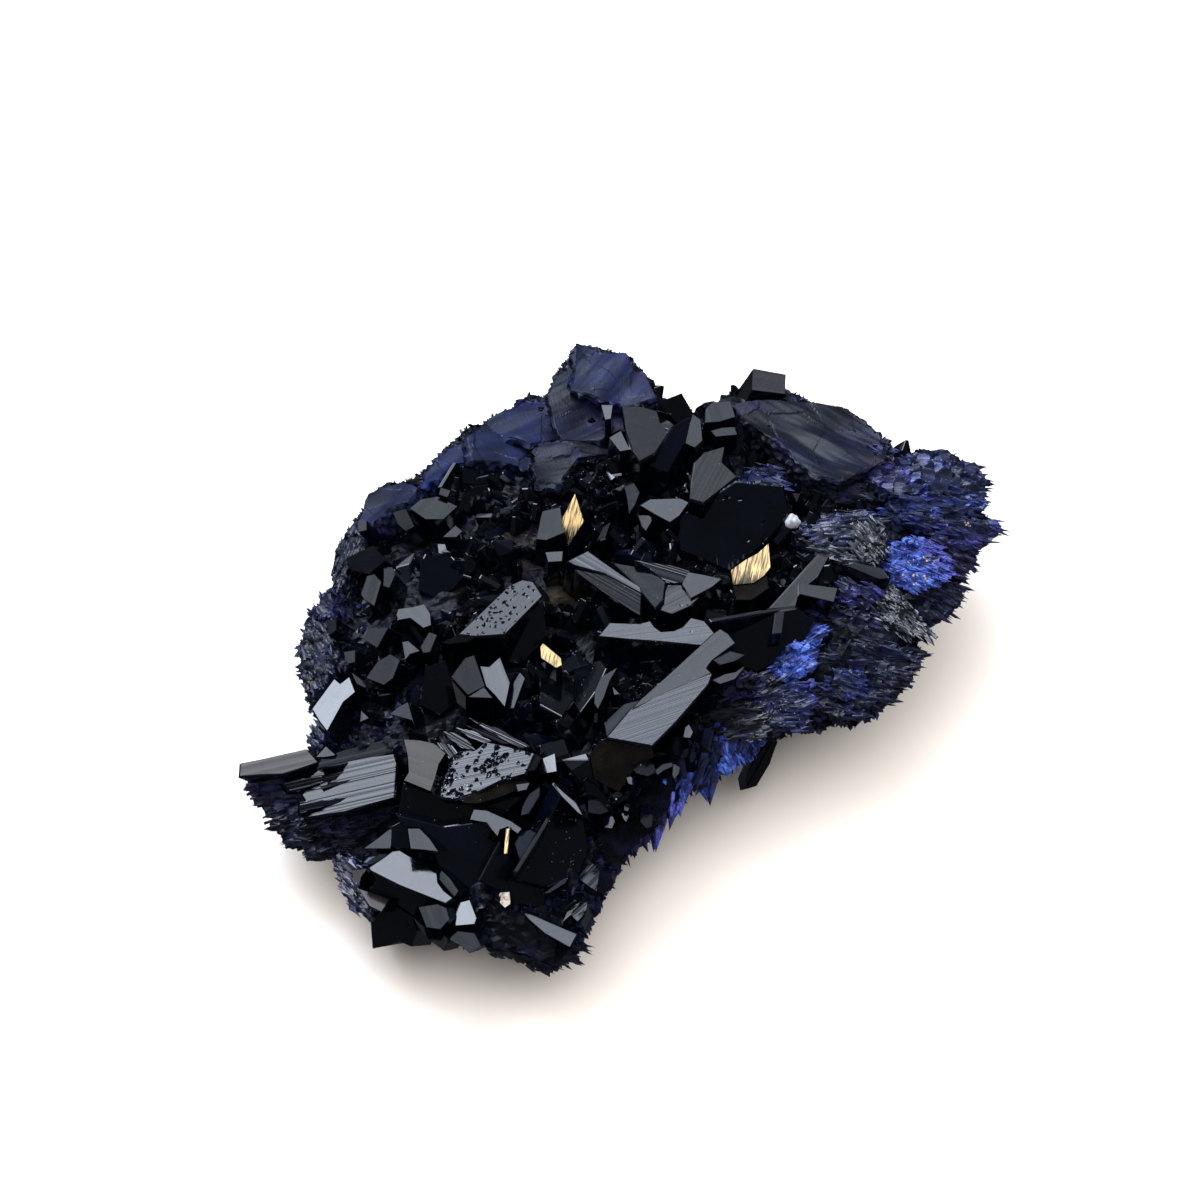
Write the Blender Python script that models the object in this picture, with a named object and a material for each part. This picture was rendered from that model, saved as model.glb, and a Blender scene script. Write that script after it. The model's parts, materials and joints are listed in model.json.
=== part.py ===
"""Azurite specimen: a plate of intergrown crystals, broken flat underneath where it rests.

One grown piece. A rough plate carries large glassy crystals on top and small ones between them. Fibrous
lobes ring it, with short teeth all along the rim, and everything is fused into one solid.
Crystal faces are laid out as mineralogists draw them, in an inclined view: a corner is a square of the
drawing grid, and it lies where the sight line through that square meets the plane of its face.
"""

import math
import random
from collections import namedtuple

import bmesh
import bpy
import numpy as np
from mathutils import Quaternion, Vector, noise

MM = 0.001

# ---- driving dimensions -----------------------------------------------------------------------
GRID_SQUARE = 0.065 * MM          # side of one square of the drawing grid
GRID_ORIGIN = (610, 690)          # the square that the centre of the resting face falls on
VIEW_ELEVATION = math.radians(50) # the drawing looks down by this much, along +Y

SHARED_TILT, SHARED_TOWARD = 11.4, 188   # the plane that many upper faces lie close to, in degrees

RIM_HEIGHT = 5.2 * MM             # middle of the plate's edge, above the surface it rests on
RIM_SLOPE = 0.075                 # the plate lifts towards +X by this much per unit of length
GROUND_HEIGHT = 7.9 * MM          # top of the plate between the crystals
GROUND_ROUGHNESS = 0.9 * MM
GROUND_SLOPE = 0.03
LUMP_SPACING = 6 * MM
UNDERSIDE_ROUGHNESS = 0.7 * MM
RESTING_SHARE = 0.42              # size of the flat broken face, as a share of the plate's outline
LOWEST_CRYSTAL = 0.5 * MM         # nothing but the broken face reaches the surface it rests on
SMALL_CRYSTALS = 90
SMALL_LENGTH = (1.6 * MM, 3.0 * MM)
SMALL_WIDTH, SMALL_THICKNESS = 0.7, 0.5   # shares of a small crystal's length
SMALL_RISE = (0.4, 1.2)           # how steeply they stand, in radians
SMALL_REACH = 0.9                 # they cover this share of the plate's outline
SMALL_BURIED, EDGE_BURIED = 0.5 * MM, 1.6 * MM   # how deep they are rooted, further in and near the edge
EDGE_FROM = 0.75
RIM_TEETH = 84
TOOTH_LENGTH = (1.3 * MM, 2.7 * MM)
TOOTH_WIDTH, TOOTH_THICKNESS = 0.75, 0.45   # shares of a tooth's length
TOOTH_BURIED = 0.66               # this share of a tooth is inside the plate
TOOTH_SLOPE = (-0.5, 0.25)        # fall and rise of a tooth against its way outwards
TOOTH_SCATTER = 0.7 * MM          # above and below the middle of the edge
FLAT_ANGLE = math.radians(0.3)    # faces this near to one plane are one face
MOST_TRIANGLES = 8600             # slivers left where crystals cross are collapsed down to this many
SEED = 7

# The plate's outline in grid squares, clockwise from its back peak.
RIM_OUTLINE = [
    (575, 344), (600, 351), (627, 358), (645, 374), (660, 397), (690, 408), (701, 420), (715, 404),
    (737, 390), (754, 378), (786, 384), (805, 402), (843, 407), (864, 426), (890, 442), (912, 457),
    (951, 452), (975, 466), (988, 484), (986, 506), (974, 514), (1000, 524), (978, 546), (963, 566),
    (958, 596), (932, 618), (926, 632), (898, 640), (922, 654), (905, 676), (888, 700), (864, 712),
    (802, 724), (765, 738), (728, 766), (702, 782), (682, 793), (664, 815), (642, 840), (616, 862),
    (598, 898), (582, 938), (553, 962), (504, 948), (463, 944), (424, 926), (385, 914), (350, 900),
    (338, 868), (334, 835), (322, 800), (314, 765), (314, 735), (320, 722), (310, 704), (303, 680),
    (300, 650), (309, 616), (332, 588), (337, 547), (362, 510), (374, 493), (406, 487), (425, 470),
    (452, 443), (484, 422), (510, 407), (528, 395), (546, 397), (558, 372),
]

# A named crystal: the height of the middle of its upper face, how far that face turns from the shared
# plane and towards which bearing (0 is +X, 90 is +Y), its depth, and its outline in grid squares. Heights
# and depths are in mm, turns in degrees.
Crystal = namedtuple("Crystal", "name height turn toward depth outline")

LEFT_PRISM = [
    Crystal("ridged_base", 7.6, 12, 212, 4.4,
            [(287, 779), (310, 770), (340, 763), (370, 757), (393, 754), (396, 764), (394, 797), (372, 803),
             (345, 811), (306, 817), (301, 815), (306, 800), (300, 790)]),
    Crystal("ridged_back", 7.5, 14.5, 60, 4.6,
            [(241, 763), (262, 759), (306, 749), (318, 762), (300, 768), (283, 773), (262, 774), (240, 776)]),
    Crystal("ridged_back_strip", 7.9, 21, 40, 4.0,
            [(322, 757), (345, 750), (380, 741), (394, 752), (340, 765), (318, 768)]),
    Crystal("back_chip", 8.2, 15, 30, 2.6, [(316, 757), (326, 746), (336, 755), (325, 757)]),
]
PITTED_LENS = [
    Crystal("pitted_face", 10.4, 11, 200, 5.0,
            [(432, 792), (438, 778), (447, 773), (449, 760), (460, 751), (476, 750), (486, 742), (505, 746),
             (534, 753), (525, 773), (500, 780), (480, 790), (456, 798), (444, 797)]),
    Crystal("pitted_shoulder", 10.3, 11.5, 300, 5.0,
            [(404, 739), (420, 740), (434, 743), (446, 753), (439, 764), (436, 776), (431, 791), (404, 780),
             (409, 772), (408, 756)]),
    Crystal("pitted_bevel", 10.3, 24, 285, 4.0,
            [(458, 799), (480, 791), (501, 781), (524, 774), (529, 784), (505, 795), (480, 803), (466, 803)]),
    Crystal("pitted_front", 8.4, 46, 280, 3.4,
            [(405, 783), (432, 794), (466, 804), (505, 797), (524, 796), (498, 818), (445, 826), (400, 812)]),
    Crystal("black_wall", 7.9, 44, 285, 3.4,
            [(398, 815), (445, 827), (497, 819), (488, 838), (498, 844), (500, 862), (470, 892), (440, 866),
             (424, 828), (406, 826)]),
    Crystal("black_wall_right", 7.6, 42, 300, 3.0,
            [(500, 842), (514, 860), (518, 879), (545, 890), (545, 908), (512, 901), (500, 889), (480, 880)]),
]
CENTRE_BARS = [
    Crystal("cross_bar", 11.2, 12.5, 10, 5.0,
            [(599, 636), (604, 630), (610, 623), (640, 624), (650, 621), (654, 627), (661, 632), (674, 631),
             (683, 627), (691, 618), (704, 621), (714, 633), (701, 645), (660, 641), (630, 639)]),
    Crystal("long_bar", 11.85, 14.5, 350, 5.5,
            [(701, 645), (713, 634), (720, 629), (728, 634), (735, 643), (712, 660), (706, 668), (711, 673),
             (672, 690), (632, 709), (640, 700), (665, 678)]),
    Crystal("long_bar_foot", 11.7, 12.5, 345, 5.5,
            [(632, 708), (672, 689), (712, 673), (708, 684), (675, 722), (652, 745), (607, 737), (620, 722)]),
    Crystal("long_bar_strip", 11.2, 18, 150, 4.5,
            [(604, 723), (624, 704), (640, 700), (607, 736)]),
    Crystal("long_bar_end", 9.6, 44, 275, 3.6,
            [(601, 739), (652, 747), (654, 757), (635, 768), (619, 792), (594, 779), (590, 755)]),
    Crystal("diagonal_bar", 11.0, 14, 30, 4.5,
            [(568, 561), (588, 551), (600, 560), (620, 574), (640, 587), (641, 593), (605, 573), (575, 565)]),
    Crystal("diagonal_bar_side", 10.7, 17, 250, 4.2,
            [(570, 566), (605, 574), (641, 594), (640, 616), (600, 590), (580, 575)]),
    Crystal("stepped_dark", 11.0, 16.5, 80, 4.6,
            [(613, 563), (632, 566), (650, 570), (665, 582), (663, 599), (655, 608), (645, 596), (635, 583)]),
    Crystal("stepped_strata", 10.9, 21, 40, 4.0,
            [(634, 560), (670, 565), (690, 571), (683, 583), (667, 583), (650, 569)]),
    Crystal("stepped_bright", 11.3, 15.5, 20, 4.8,
            [(682, 584), (688, 572), (705, 575), (722, 579), (712, 587), (691, 598)]),
    Crystal("stepped_lower", 11.3, 15.5, 20, 4.8,
            [(663, 597), (668, 585), (681, 585), (691, 599), (700, 597), (690, 606), (672, 614), (654, 608)]),
    Crystal("step_dim", 11.8, 18.5, 350, 3.4, [(713, 660), (730, 651), (745, 655), (735, 661), (720, 665)]),
    Crystal("step_grey", 10.8, 17, 10, 3.4,
            [(712, 680), (725, 674), (735, 672), (746, 665), (735, 679), (720, 684)]),
    Crystal("bar_shade", 9.6, 23, 150, 3.0,
            [(575, 668), (590, 664), (600, 660), (606, 668), (596, 690), (580, 712), (572, 700)]),
    Crystal("hollow_facet", 9.0, 25, 60, 3.0, [(540, 676), (566, 670), (580, 690), (562, 716), (540, 704)]),
]
CENTRE_LEFT = [
    Crystal("lozenge", 10.8, 14, 0, 5.0,
            [(459, 634), (480, 614), (509, 586), (522, 580), (533, 582), (542, 596), (505, 634), (475, 636)]),
    Crystal("lozenge_tail", 10.8, 30, 205, 4.0,
            [(440, 643), (459, 634), (476, 637), (466, 642), (450, 644)]),
    Crystal("lozenge_front", 9.0, 48, 290, 3.0,
            [(476, 638), (505, 637), (542, 600), (546, 636), (522, 664), (490, 660)]),
    Crystal("twin_grey", 10.0, 20, 205, 3.8,
            [(465, 658), (474, 655), (485, 686), (468, 695), (451, 677)]),
    Crystal("twin_olive", 9.8, 18.5, 300, 3.2, [(451, 679), (466, 697), (466, 710), (457, 703)]),
    Crystal("twin_bright", 10.3, 12, 0, 4.0,
            [(480, 666), (489, 667), (500, 657), (510, 683), (505, 707), (495, 695), (486, 686)]),
    Crystal("twin_chip", 10.4, 17, 30, 3.2, [(468, 697), (484, 687), (493, 698)]),
    Crystal("twin_right", 10.1, 15, 172, 3.8,
            [(507, 709), (514, 682), (520, 672), (525, 678), (514, 708)]),
    Crystal("gold_chip", 9.8, 8, 188, 3.0,
            [(540, 647), (543, 643), (561, 658), (562, 665), (556, 668), (541, 658)]),
    Crystal("slim_facet", 10.8, 16, 60, 3.4,
            [(594, 703), (595, 690), (601, 677), (618, 667), (610, 680), (604, 697), (598, 709)]),
]
UPPER_MIDDLE = [
    Crystal("gold_diamond", 10.7, 10, 188, 3.4,
            [(575, 493), (584, 521), (568, 546), (561, 520)]),
    Crystal("diamond_neighbour", 10.4, 15.5, 140, 3.6,
            [(536, 539), (542, 511), (560, 507), (562, 520), (565, 532), (546, 540)]),
    Crystal("diamond_chip", 10.2, 15, 20, 3.0, [(545, 552), (563, 551), (562, 561), (548, 562)]),
    Crystal("gold_slab", 10.8, 9, 188, 3.6,
            [(731, 570), (745, 560), (758, 553), (769, 543), (771, 567), (764, 576), (754, 583), (733, 585)]),
    Crystal("gold_slab_foot", 10.5, 24, 280, 3.2,
            [(733, 586), (754, 584), (767, 575), (769, 588), (752, 600), (736, 600)]),
    Crystal("kite", 10.6, 15, 20, 3.6,
            [(640, 505), (650, 499), (680, 498), (689, 502), (680, 515), (670, 522), (655, 514)]),
    Crystal("kite_left", 10.5, 17, 70, 3.4,
            [(622, 477), (634, 482), (640, 492), (635, 505), (629, 513), (627, 498)]),
    Crystal("side_chip", 10.2, 21, 40, 3.0, [(597, 540), (603, 527), (611, 521), (606, 536)]),
    Crystal("black_slab", 10.0, 38, 285, 4.5,
            [(680, 516), (704, 503), (736, 482), (783, 486), (787, 516), (762, 545), (730, 570), (680, 549)]),
    Crystal("slab_shelf", 11.2, 19, 20, 4.0,
            [(692, 480), (695, 462), (705, 452), (725, 446), (722, 462), (737, 476), (704, 502), (690, 498)]),
    Crystal("back_block", 11.2, 18, 60, 3.0,
            [(622, 405), (642, 406), (656, 410), (674, 424), (655, 452), (640, 460), (633, 450), (626, 428)]),
    Crystal("back_block_side", 11.3, 40, 330, 3.6,
            [(674, 425), (690, 416), (686, 440), (668, 472), (641, 461), (656, 452)]),
    Crystal("back_strip", 10.8, 13, 30, 3.4, [(601, 404), (613, 404), (611, 418), (605, 419)]),
    Crystal("back_triangle", 11.0, 15, 30, 3.4, [(609, 437), (621, 430), (630, 449), (620, 451)]),
    Crystal("back_black", 11.2, 34, 300, 3.4,
            [(659, 401), (682, 392), (693, 411), (690, 430), (676, 421)]),
    Crystal("back_pale", 10.8, 17, 0, 3.4,
            [(688, 430), (693, 413), (701, 419), (703, 440), (695, 447), (680, 440)]),
    Crystal("back_grey", 10.8, 18, 0, 3.4,
            [(705, 422), (706, 408), (713, 401), (731, 400), (736, 416), (720, 421)]),
    Crystal("back_grey_step", 10.6, 18, 10, 3.4,
            [(711, 430), (722, 427), (735, 426), (738, 434), (716, 436)]),
    Crystal("rim_block", 9.8, 17.5, 340, 3.2,
            [(754, 367), (787, 373), (786, 393), (753, 389)]),
]
RIGHT_SIDE = [
    Crystal("right_wedge", 10.2, 17, 350, 3.4,
            [(768, 609), (797, 578), (818, 554), (829, 557), (818, 577), (799, 592), (796, 606)]),
    Crystal("right_step", 10.4, 18, 20, 3.2,
            [(799, 583), (838, 588), (834, 602), (800, 594)]),
    Crystal("right_black", 9.2, 42, 285, 3.4,
            [(722, 638), (752, 616), (796, 609), (814, 622), (796, 650), (757, 672), (730, 660)]),
    Crystal("right_blade", 9.6, 21, 30, 3.0,
            [(848, 566), (855, 562), (882, 568), (890, 578), (880, 579)]),
    Crystal("right_blade_side", 9.3, 40, 290, 3.0,
            [(848, 567), (880, 580), (891, 579), (889, 587), (862, 580)]),
]
LOWER_MIDDLE = [
    Crystal("tabular_right", 8.6, 42, 320, 4.2,
            [(563, 796), (572, 801), (582, 815), (588, 845), (580, 870), (548, 886), (518, 878), (516, 870)]),
    Crystal("tabular_left", 8.9, 36, 200, 4.2,
            [(552, 783), (561, 794), (540, 834), (516, 870), (508, 862), (530, 826)]),
    Crystal("tabular_facet", 9.7, 23, 20, 2.4,
            [(515, 843), (521, 832), (530, 829), (538, 833), (530, 845), (520, 859)]),
    Crystal("tabular_foot", 8.2, 20, 340, 2.4,
            [(543, 893), (560, 880), (568, 876), (566, 882), (550, 892)]),
    Crystal("white_chip", 10.8, 7, 188, 3.0,
            [(538, 770), (543, 758), (555, 753), (557, 771), (540, 774)]),
    Crystal("grey_chip", 11.2, 16, 20, 2.6, [(516, 784), (530, 782), (527, 789), (518, 791)]),
    Crystal("grey_column", 10.4, 22, 20, 3.0,
            [(521, 815), (523, 803), (530, 793), (540, 786), (540, 795), (529, 813)]),
    Crystal("jagged_facet", 9.6, 13, 0, 3.4,
            [(470, 819), (474, 809), (487, 810), (512, 821), (522, 828), (518, 833), (508, 826), (500, 829),
             (498, 836), (492, 829), (487, 822)]),
    Crystal("gold_sliver", 9.9, 7, 188, 1.6, [(506, 828), (510, 828), (508, 853), (504, 853)]),
    Crystal("round_facet", 9.4, 14, 200, 2.6,
            [(603, 819), (606, 815), (613, 816), (615, 821), (612, 828), (604, 827)]),
    Crystal("striped_triangle", 7.6, 18.5, 20, 2.8,
            [(578, 877), (584, 869), (592, 862), (600, 868), (597, 891), (588, 885)]),
    Crystal("front_knob", 7.0, 36, 320, 2.8, [(599, 869), (608, 872), (614, 880), (611, 890), (598, 893)]),
    Crystal("front_strip", 6.9, 13, 0, 3.2,
            [(521, 910), (535, 915), (565, 928), (577, 933), (570, 946), (545, 932), (530, 919)]),
    Crystal("front_facet", 7.0, 16.5, 30, 2.6,
            [(562, 922), (567, 911), (577, 905), (589, 898), (586, 911), (578, 921), (571, 914)]),
    Crystal("front_side", 6.6, 22, 340, 2.6, [(588, 903), (592, 916), (586, 930), (580, 922)]),
    Crystal("underside_blade", 3.0, 44, 310, 1.8,
            [(746, 778), (752, 764), (770, 738), (778, 742), (770, 764), (757, 786), (748, 789)]),
]
LOWER_LEFT = [
    Crystal("front_lens", 7.8, 8, 0, 4.0,
            [(370, 867), (385, 857), (393, 851), (400, 850), (418, 861), (437, 872), (438, 882), (444, 890),
             (453, 897), (446, 902), (438, 899), (400, 884), (372, 870)]),
    Crystal("front_lens_wing", 7.3, 23, 40, 3.0,
            [(368, 861), (385, 850), (396, 847), (400, 850), (388, 855), (372, 864)]),
    Crystal("front_lens_face", 5.6, 46, 280, 2.6,
            [(374, 873), (400, 885), (440, 903), (419, 905), (413, 915), (392, 898), (372, 890), (376, 880)]),
    Crystal("left_triangle", 7.4, 17, 20, 3.4,
            [(364, 848), (378, 838), (392, 827), (393, 833), (391, 848)]),
    Crystal("navy_wedge", 7.8, 40, 280, 3.0,
            [(392, 826), (400, 822), (408, 827), (410, 848), (396, 848), (391, 846)]),
    Crystal("right_triangle", 8.9, 16, 40, 3.4,
            [(408, 828), (420, 828), (430, 838), (439, 851), (425, 849), (411, 848)]),
    Crystal("lens_neighbour", 7.6, 19, 30, 3.0,
            [(440, 868), (450, 877), (459, 890), (455, 896), (446, 886), (439, 878)]),
    Crystal("white_square", 6.9, 6, 350, 2.8,
            [(447, 912), (452, 904), (470, 899), (477, 917), (475, 923), (452, 925)]),
    Crystal("cream_block", 7.4, 10, 190, 2.6, [(501, 892), (510, 891), (511, 903), (505, 907), (500, 902)]),
    Crystal("olive_facet", 6.6, 17, 30, 2.4, [(359, 888), (372, 892), (390, 899), (382, 911), (370, 905)]),
    Crystal("olive_chip", 6.6, 17, 60, 2.4, [(352, 870), (368, 868), (362, 876), (360, 884), (354, 880)]),
    Crystal("bottom_dark", 4.0, 40, 272, 2.6,
            [(371, 922), (382, 908), (395, 905), (412, 915), (418, 930), (412, 946), (400, 941), (388, 945),
             (373, 948)]),
    Crystal("bottom_grey", 7.1, 20, 30, 2.6,
            [(419, 906), (438, 903), (447, 907), (450, 918), (441, 928), (427, 926)]),
    Crystal("bottom_long", 6.3, 19, 300, 2.4,
            [(413, 916), (428, 928), (440, 930), (449, 938), (445, 950), (425, 935)]),
    Crystal("bottom_dull", 7.0, 20, 40, 2.2,
            [(449, 938), (458, 930), (475, 932), (482, 945), (470, 952), (462, 945)]),
]
LEFT_CLUSTER = [
    Crystal("white_blade", 7.4, 5, 188, 3.6,
            [(334, 679), (340, 684), (349, 677), (355, 692), (343, 702), (327, 731), (320, 722), (312, 709)]),
    Crystal("lens", 9.2, 18.5, 20, 3.6,
            [(409, 508), (420, 499), (437, 496), (457, 506), (443, 519), (425, 519)]),
    Crystal("lens_top", 9.3, 18.5, 30, 3.0, [(440, 487), (450, 490), (447, 497), (438, 494)]),
    Crystal("left_a", 8.6, 16.5, 300, 3.2, [(392, 512), (405, 508), (414, 526), (405, 531), (397, 524)]),
    Crystal("left_b", 9.4, 17.5, 20, 3.2, [(442, 537), (455, 525), (462, 531), (456, 537)]),
    Crystal("left_c", 8.6, 16.5, 330, 3.2,
            [(360, 594), (366, 576), (374, 574), (381, 582), (374, 606), (364, 600)]),
    Crystal("left_d", 8.8, 17, 70, 3.2, [(383, 567), (392, 567), (395, 574), (389, 588), (383, 586)]),
    Crystal("left_e", 9.2, 14, 0, 3.4,
            [(396, 615), (398, 609), (412, 607), (424, 604), (430, 614), (431, 625), (423, 628), (410, 618),
             (398, 620)]),
    Crystal("left_f", 8.6, 19, 350, 3.2, [(361, 638), (367, 628), (388, 628), (377, 648)]),
    Crystal("left_g", 9.2, 16, 30, 3.2, [(402, 642), (408, 641), (420, 651), (410, 654), (405, 660)]),
    Crystal("left_h", 9.4, 19.5, 10, 3.2, [(420, 647), (429, 632), (437, 635), (430, 652), (423, 653)]),
    Crystal("left_i", 8.8, 18, 340, 3.4,
            [(366, 678), (377, 662), (390, 654), (400, 660), (393, 678), (384, 685)]),
    Crystal("left_j", 9.2, 14, 300, 3.2, [(389, 714), (399, 707), (408, 702), (417, 733), (412, 720)]),
    Crystal("left_k", 8.6, 16, 20, 3.0, [(360, 722), (361, 710), (369, 718)]),
    Crystal("left_o", 8.4, 20, 30, 2.6, [(351, 672), (362, 680), (369, 690), (357, 684)]),
    Crystal("left_p", 8.0, 20, 20, 2.8, [(343, 652), (355, 650), (355, 662), (347, 664)]),
    Crystal("left_q", 8.0, 22, 340, 2.8, [(326, 620), (336, 619), (336, 630), (328, 636)]),
    Crystal("left_r", 8.9, 18, 0, 2.8, [(357, 520), (366, 520), (366, 530), (357, 532)]),
    Crystal("left_l", 8.8, 34, 280, 3.2, [(420, 560), (446, 552), (462, 578), (440, 600), (418, 590)]),
    Crystal("left_m", 8.4, 26, 250, 3.2, [(345, 558), (372, 545), (385, 560), (368, 574), (350, 570)]),
    Crystal("left_n", 8.8, 36, 300, 3.2, [(425, 668), (445, 660), (458, 700), (440, 715), (420, 705)]),
]

LARGE_CRYSTALS = (LEFT_PRISM + PITTED_LENS + CENTRE_BARS + CENTRE_LEFT + UPPER_MIDDLE
                  + RIGHT_SIDE + LOWER_MIDDLE + LOWER_LEFT + LEFT_CLUSTER)

# Around the edge the crystals are too thin to see singly: they have grown together into lobes.
RIGHT_LOBES = [
    Crystal("plate_back", 10.2, 19, 40, 2.6,
         [(730, 402), (765, 398), (806, 400), (843, 404), (858, 411), (882, 429), (893, 443), (888, 460),
          (868, 470), (846, 485), (818, 478), (798, 462), (776, 440), (745, 418)]),
    Crystal("knob", 9.6, 24, 30, 2.4, [(870, 438), (890, 436), (896, 455), (884, 466), (868, 458)]),
    Crystal("upper_arm", 9.4, 23, 20, 2.4,
         [(866, 470), (895, 457), (922, 447), (951, 447), (957, 460), (976, 462), (990, 478), (988, 494),
          (962, 500), (932, 490), (900, 493), (878, 486)]),
    Crystal("upper_ridge", 9.9, 20, 0, 1.8,
         [(820, 480), (850, 486), (880, 476), (912, 478), (905, 490), (870, 500), (836, 498)]),
    Crystal("middle_arm", 9.3, 23, 350, 2.2,
         [(888, 500), (930, 490), (965, 499), (990, 500), (988, 508), (966, 514), (950, 528), (905, 518)]),
    Crystal("point", 8.7, 25, 330, 2.0,
         [(950, 520), (977, 517), (1004, 522), (1000, 534), (980, 548), (955, 545), (935, 535)]),
    Crystal("under_point", 8.2, 26, 310, 2.0,
         [(935, 538), (980, 549), (979, 560), (960, 578), (940, 566), (925, 548)]),
    Crystal("blue_boss", 9.3, 20, 350, 2.4,
         [(892, 542), (912, 534), (935, 540), (956, 560), (952, 578), (925, 586), (903, 578), (894, 560)]),
    Crystal("lower_arm", 8.0, 27, 300, 2.2,
         [(898, 583), (925, 587), (958, 579), (965, 592), (963, 603), (953, 612), (928, 622), (908, 610)]),
    Crystal("pale_streak", 8.9, 11, 330, 1.6,
         [(884, 588), (893, 580), (905, 596), (924, 620), (936, 633), (912, 638), (896, 628), (870, 612)]),
    Crystal("inner_grey", 9.8, 16, 340, 2.0,
         [(845, 534), (860, 520), (880, 520), (889, 545), (880, 564), (862, 560), (850, 548)]),
    Crystal("violet_shelf", 9.9, 18, 10, 2.0,
         [(802, 520), (830, 511), (862, 508), (886, 520), (860, 526), (845, 543), (815, 542)]),
    Crystal("grey_shelf", 9.6, 20, 350, 2.0,
         [(798, 536), (815, 542), (845, 545), (862, 562), (850, 566), (830, 557), (815, 552)]),
    Crystal("violet_wedge", 9.0, 24, 300, 2.0,
         [(840, 575), (862, 583), (885, 588), (870, 612), (858, 604), (838, 602)]),
    Crystal("front_shelf", 8.4, 28, 300, 2.0,
         [(802, 604), (838, 604), (872, 613), (896, 630), (896, 638), (866, 640), (840, 636), (815, 626)]),
    Crystal("lower_fan", 7.6, 26, 305, 2.0,
         [(818, 655), (842, 640), (885, 638), (926, 652), (918, 668), (908, 685), (894, 702), (868, 706),
          (862, 718), (835, 720), (812, 700)]),
    Crystal("fan_blue", 7.8, 22, 320, 1.8,
         [(820, 672), (845, 666), (868, 674), (866, 692), (845, 700), (824, 690)]),
    Crystal("bright_facets", 9.0, 20, 340, 2.2,
         [(776, 662), (792, 640), (806, 622), (824, 626), (820, 645), (818, 668), (800, 676), (782, 678)]),
    Crystal("violet_boss", 8.0, 24, 300, 2.2,
         [(756, 698), (780, 682), (816, 680), (815, 706), (803, 728), (778, 731), (760, 722)]),
    Crystal("grey_tongue", 8.2, 18, 320, 2.2,
         [(696, 716), (730, 700), (762, 702), (770, 726), (764, 738), (735, 740), (712, 728)]),
    Crystal("dark_tongue", 8.8, 30, 290, 2.2,
         [(716, 690), (750, 672), (782, 680), (768, 694), (730, 700)]),
    Crystal("slab_top", 10.6, 22, 20, 1.8,
         [(738, 476), (755, 464), (775, 463), (786, 470), (784, 487), (760, 488)]),
]
FRONT_LOBES = [
    Crystal("blue_fall", 6.6, 24, 300, 2.0,
         [(700, 745), (740, 738), (768, 740), (745, 760), (726, 772), (706, 768)]),
    Crystal("front_fringe", 5.6, 28, 300, 2.2,
         [(640, 790), (662, 772), (704, 752), (712, 762), (700, 778), (686, 784), (676, 794),
          (664, 802), (656, 816), (646, 822)]),
    Crystal("front_corner_druse", 5.4, 30, 300, 2.0,
         [(606, 826), (630, 806), (648, 812), (648, 838), (628, 856), (612, 868)]),
    Crystal("front_face", 4.6, 34, 285, 2.2,
         [(486, 948), (492, 930), (502, 908), (522, 918), (545, 934), (568, 948), (584, 944), (576, 958),
          (547, 972), (536, 967), (504, 955)]),
    Crystal("left_druse", 5.0, 20, 250, 2.2,
         [(332, 858), (352, 854), (362, 872), (358, 890), (374, 908), (371, 920), (350, 908), (341, 890)]),
    Crystal("prism_end", 6.0, 30, 255, 2.4,
         [(244, 777), (262, 776), (286, 780), (306, 792), (304, 815), (270, 819), (257, 804), (245, 787)]),
    Crystal("prism_under", 5.4, 40, 275, 2.4,
         [(267, 821), (303, 818), (350, 810), (396, 799), (398, 815), (376, 832), (360, 850), (332, 857),
          (306, 859), (300, 848), (285, 843), (276, 830)]),
]
BACK_LOBES = [
    Crystal("peak", 8.8, 21, 40, 2.6,
         [(575, 341), (584, 342), (607, 351), (627, 354), (637, 370), (648, 371), (658, 400), (630, 404),
          (596, 398), (568, 388), (572, 362)]),
    Crystal("peak_shoulder", 8.6, 19, 20, 2.6,
         [(545, 396), (555, 372), (572, 364), (598, 400), (628, 408), (626, 430), (600, 445), (560, 440)]),
    Crystal("back_slope", 9.0, 20, 30, 2.6,
         [(538, 440), (560, 438), (600, 446), (626, 452), (580, 458), (555, 486), (538, 488), (530, 466)]),
    Crystal("back_left_rim", 7.6, 21, 60, 2.6,
         [(484, 420), (508, 405), (526, 392), (546, 397), (560, 436), (530, 446), (505, 440), (486, 436)]),
    Crystal("back_left_slope", 8.4, 24, 30, 2.4,
         [(462, 440), (484, 422), (506, 441), (534, 448), (530, 470), (500, 462), (468, 464)]),
    Crystal("left_knob", 7.6, 22, 60, 2.4,
         [(422, 468), (447, 446), (462, 440), (466, 462), (452, 462), (437, 484), (422, 486)]),
    Crystal("left_shoulder", 7.8, 24, 100, 2.4,
         [(366, 494), (380, 487), (404, 480), (420, 488), (410, 505), (390, 510), (372, 525), (356, 530)]),
    Crystal("left_edge", 7.2, 26, 140, 2.4,
         [(334, 548), (346, 530), (360, 512), (372, 526), (362, 550), (350, 560), (336, 585), (330, 566)]),
    Crystal("left_blue", 6.6, 22, 160, 2.4,
         [(307, 612), (322, 592), (333, 587), (336, 604), (326, 616), (308, 620)]),
    Crystal("left_low_edge", 6.4, 24, 170, 2.4,
         [(298, 646), (305, 622), (326, 617), (330, 640), (334, 662), (318, 690), (304, 690), (299, 668)]),
    Crystal("left_notch_blue", 6.0, 24, 200, 2.2,
         [(306, 740), (310, 728), (318, 722), (322, 740), (312, 750)]),
]
LOBES = RIGHT_LOBES + FRONT_LOBES + BACK_LOBES

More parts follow.
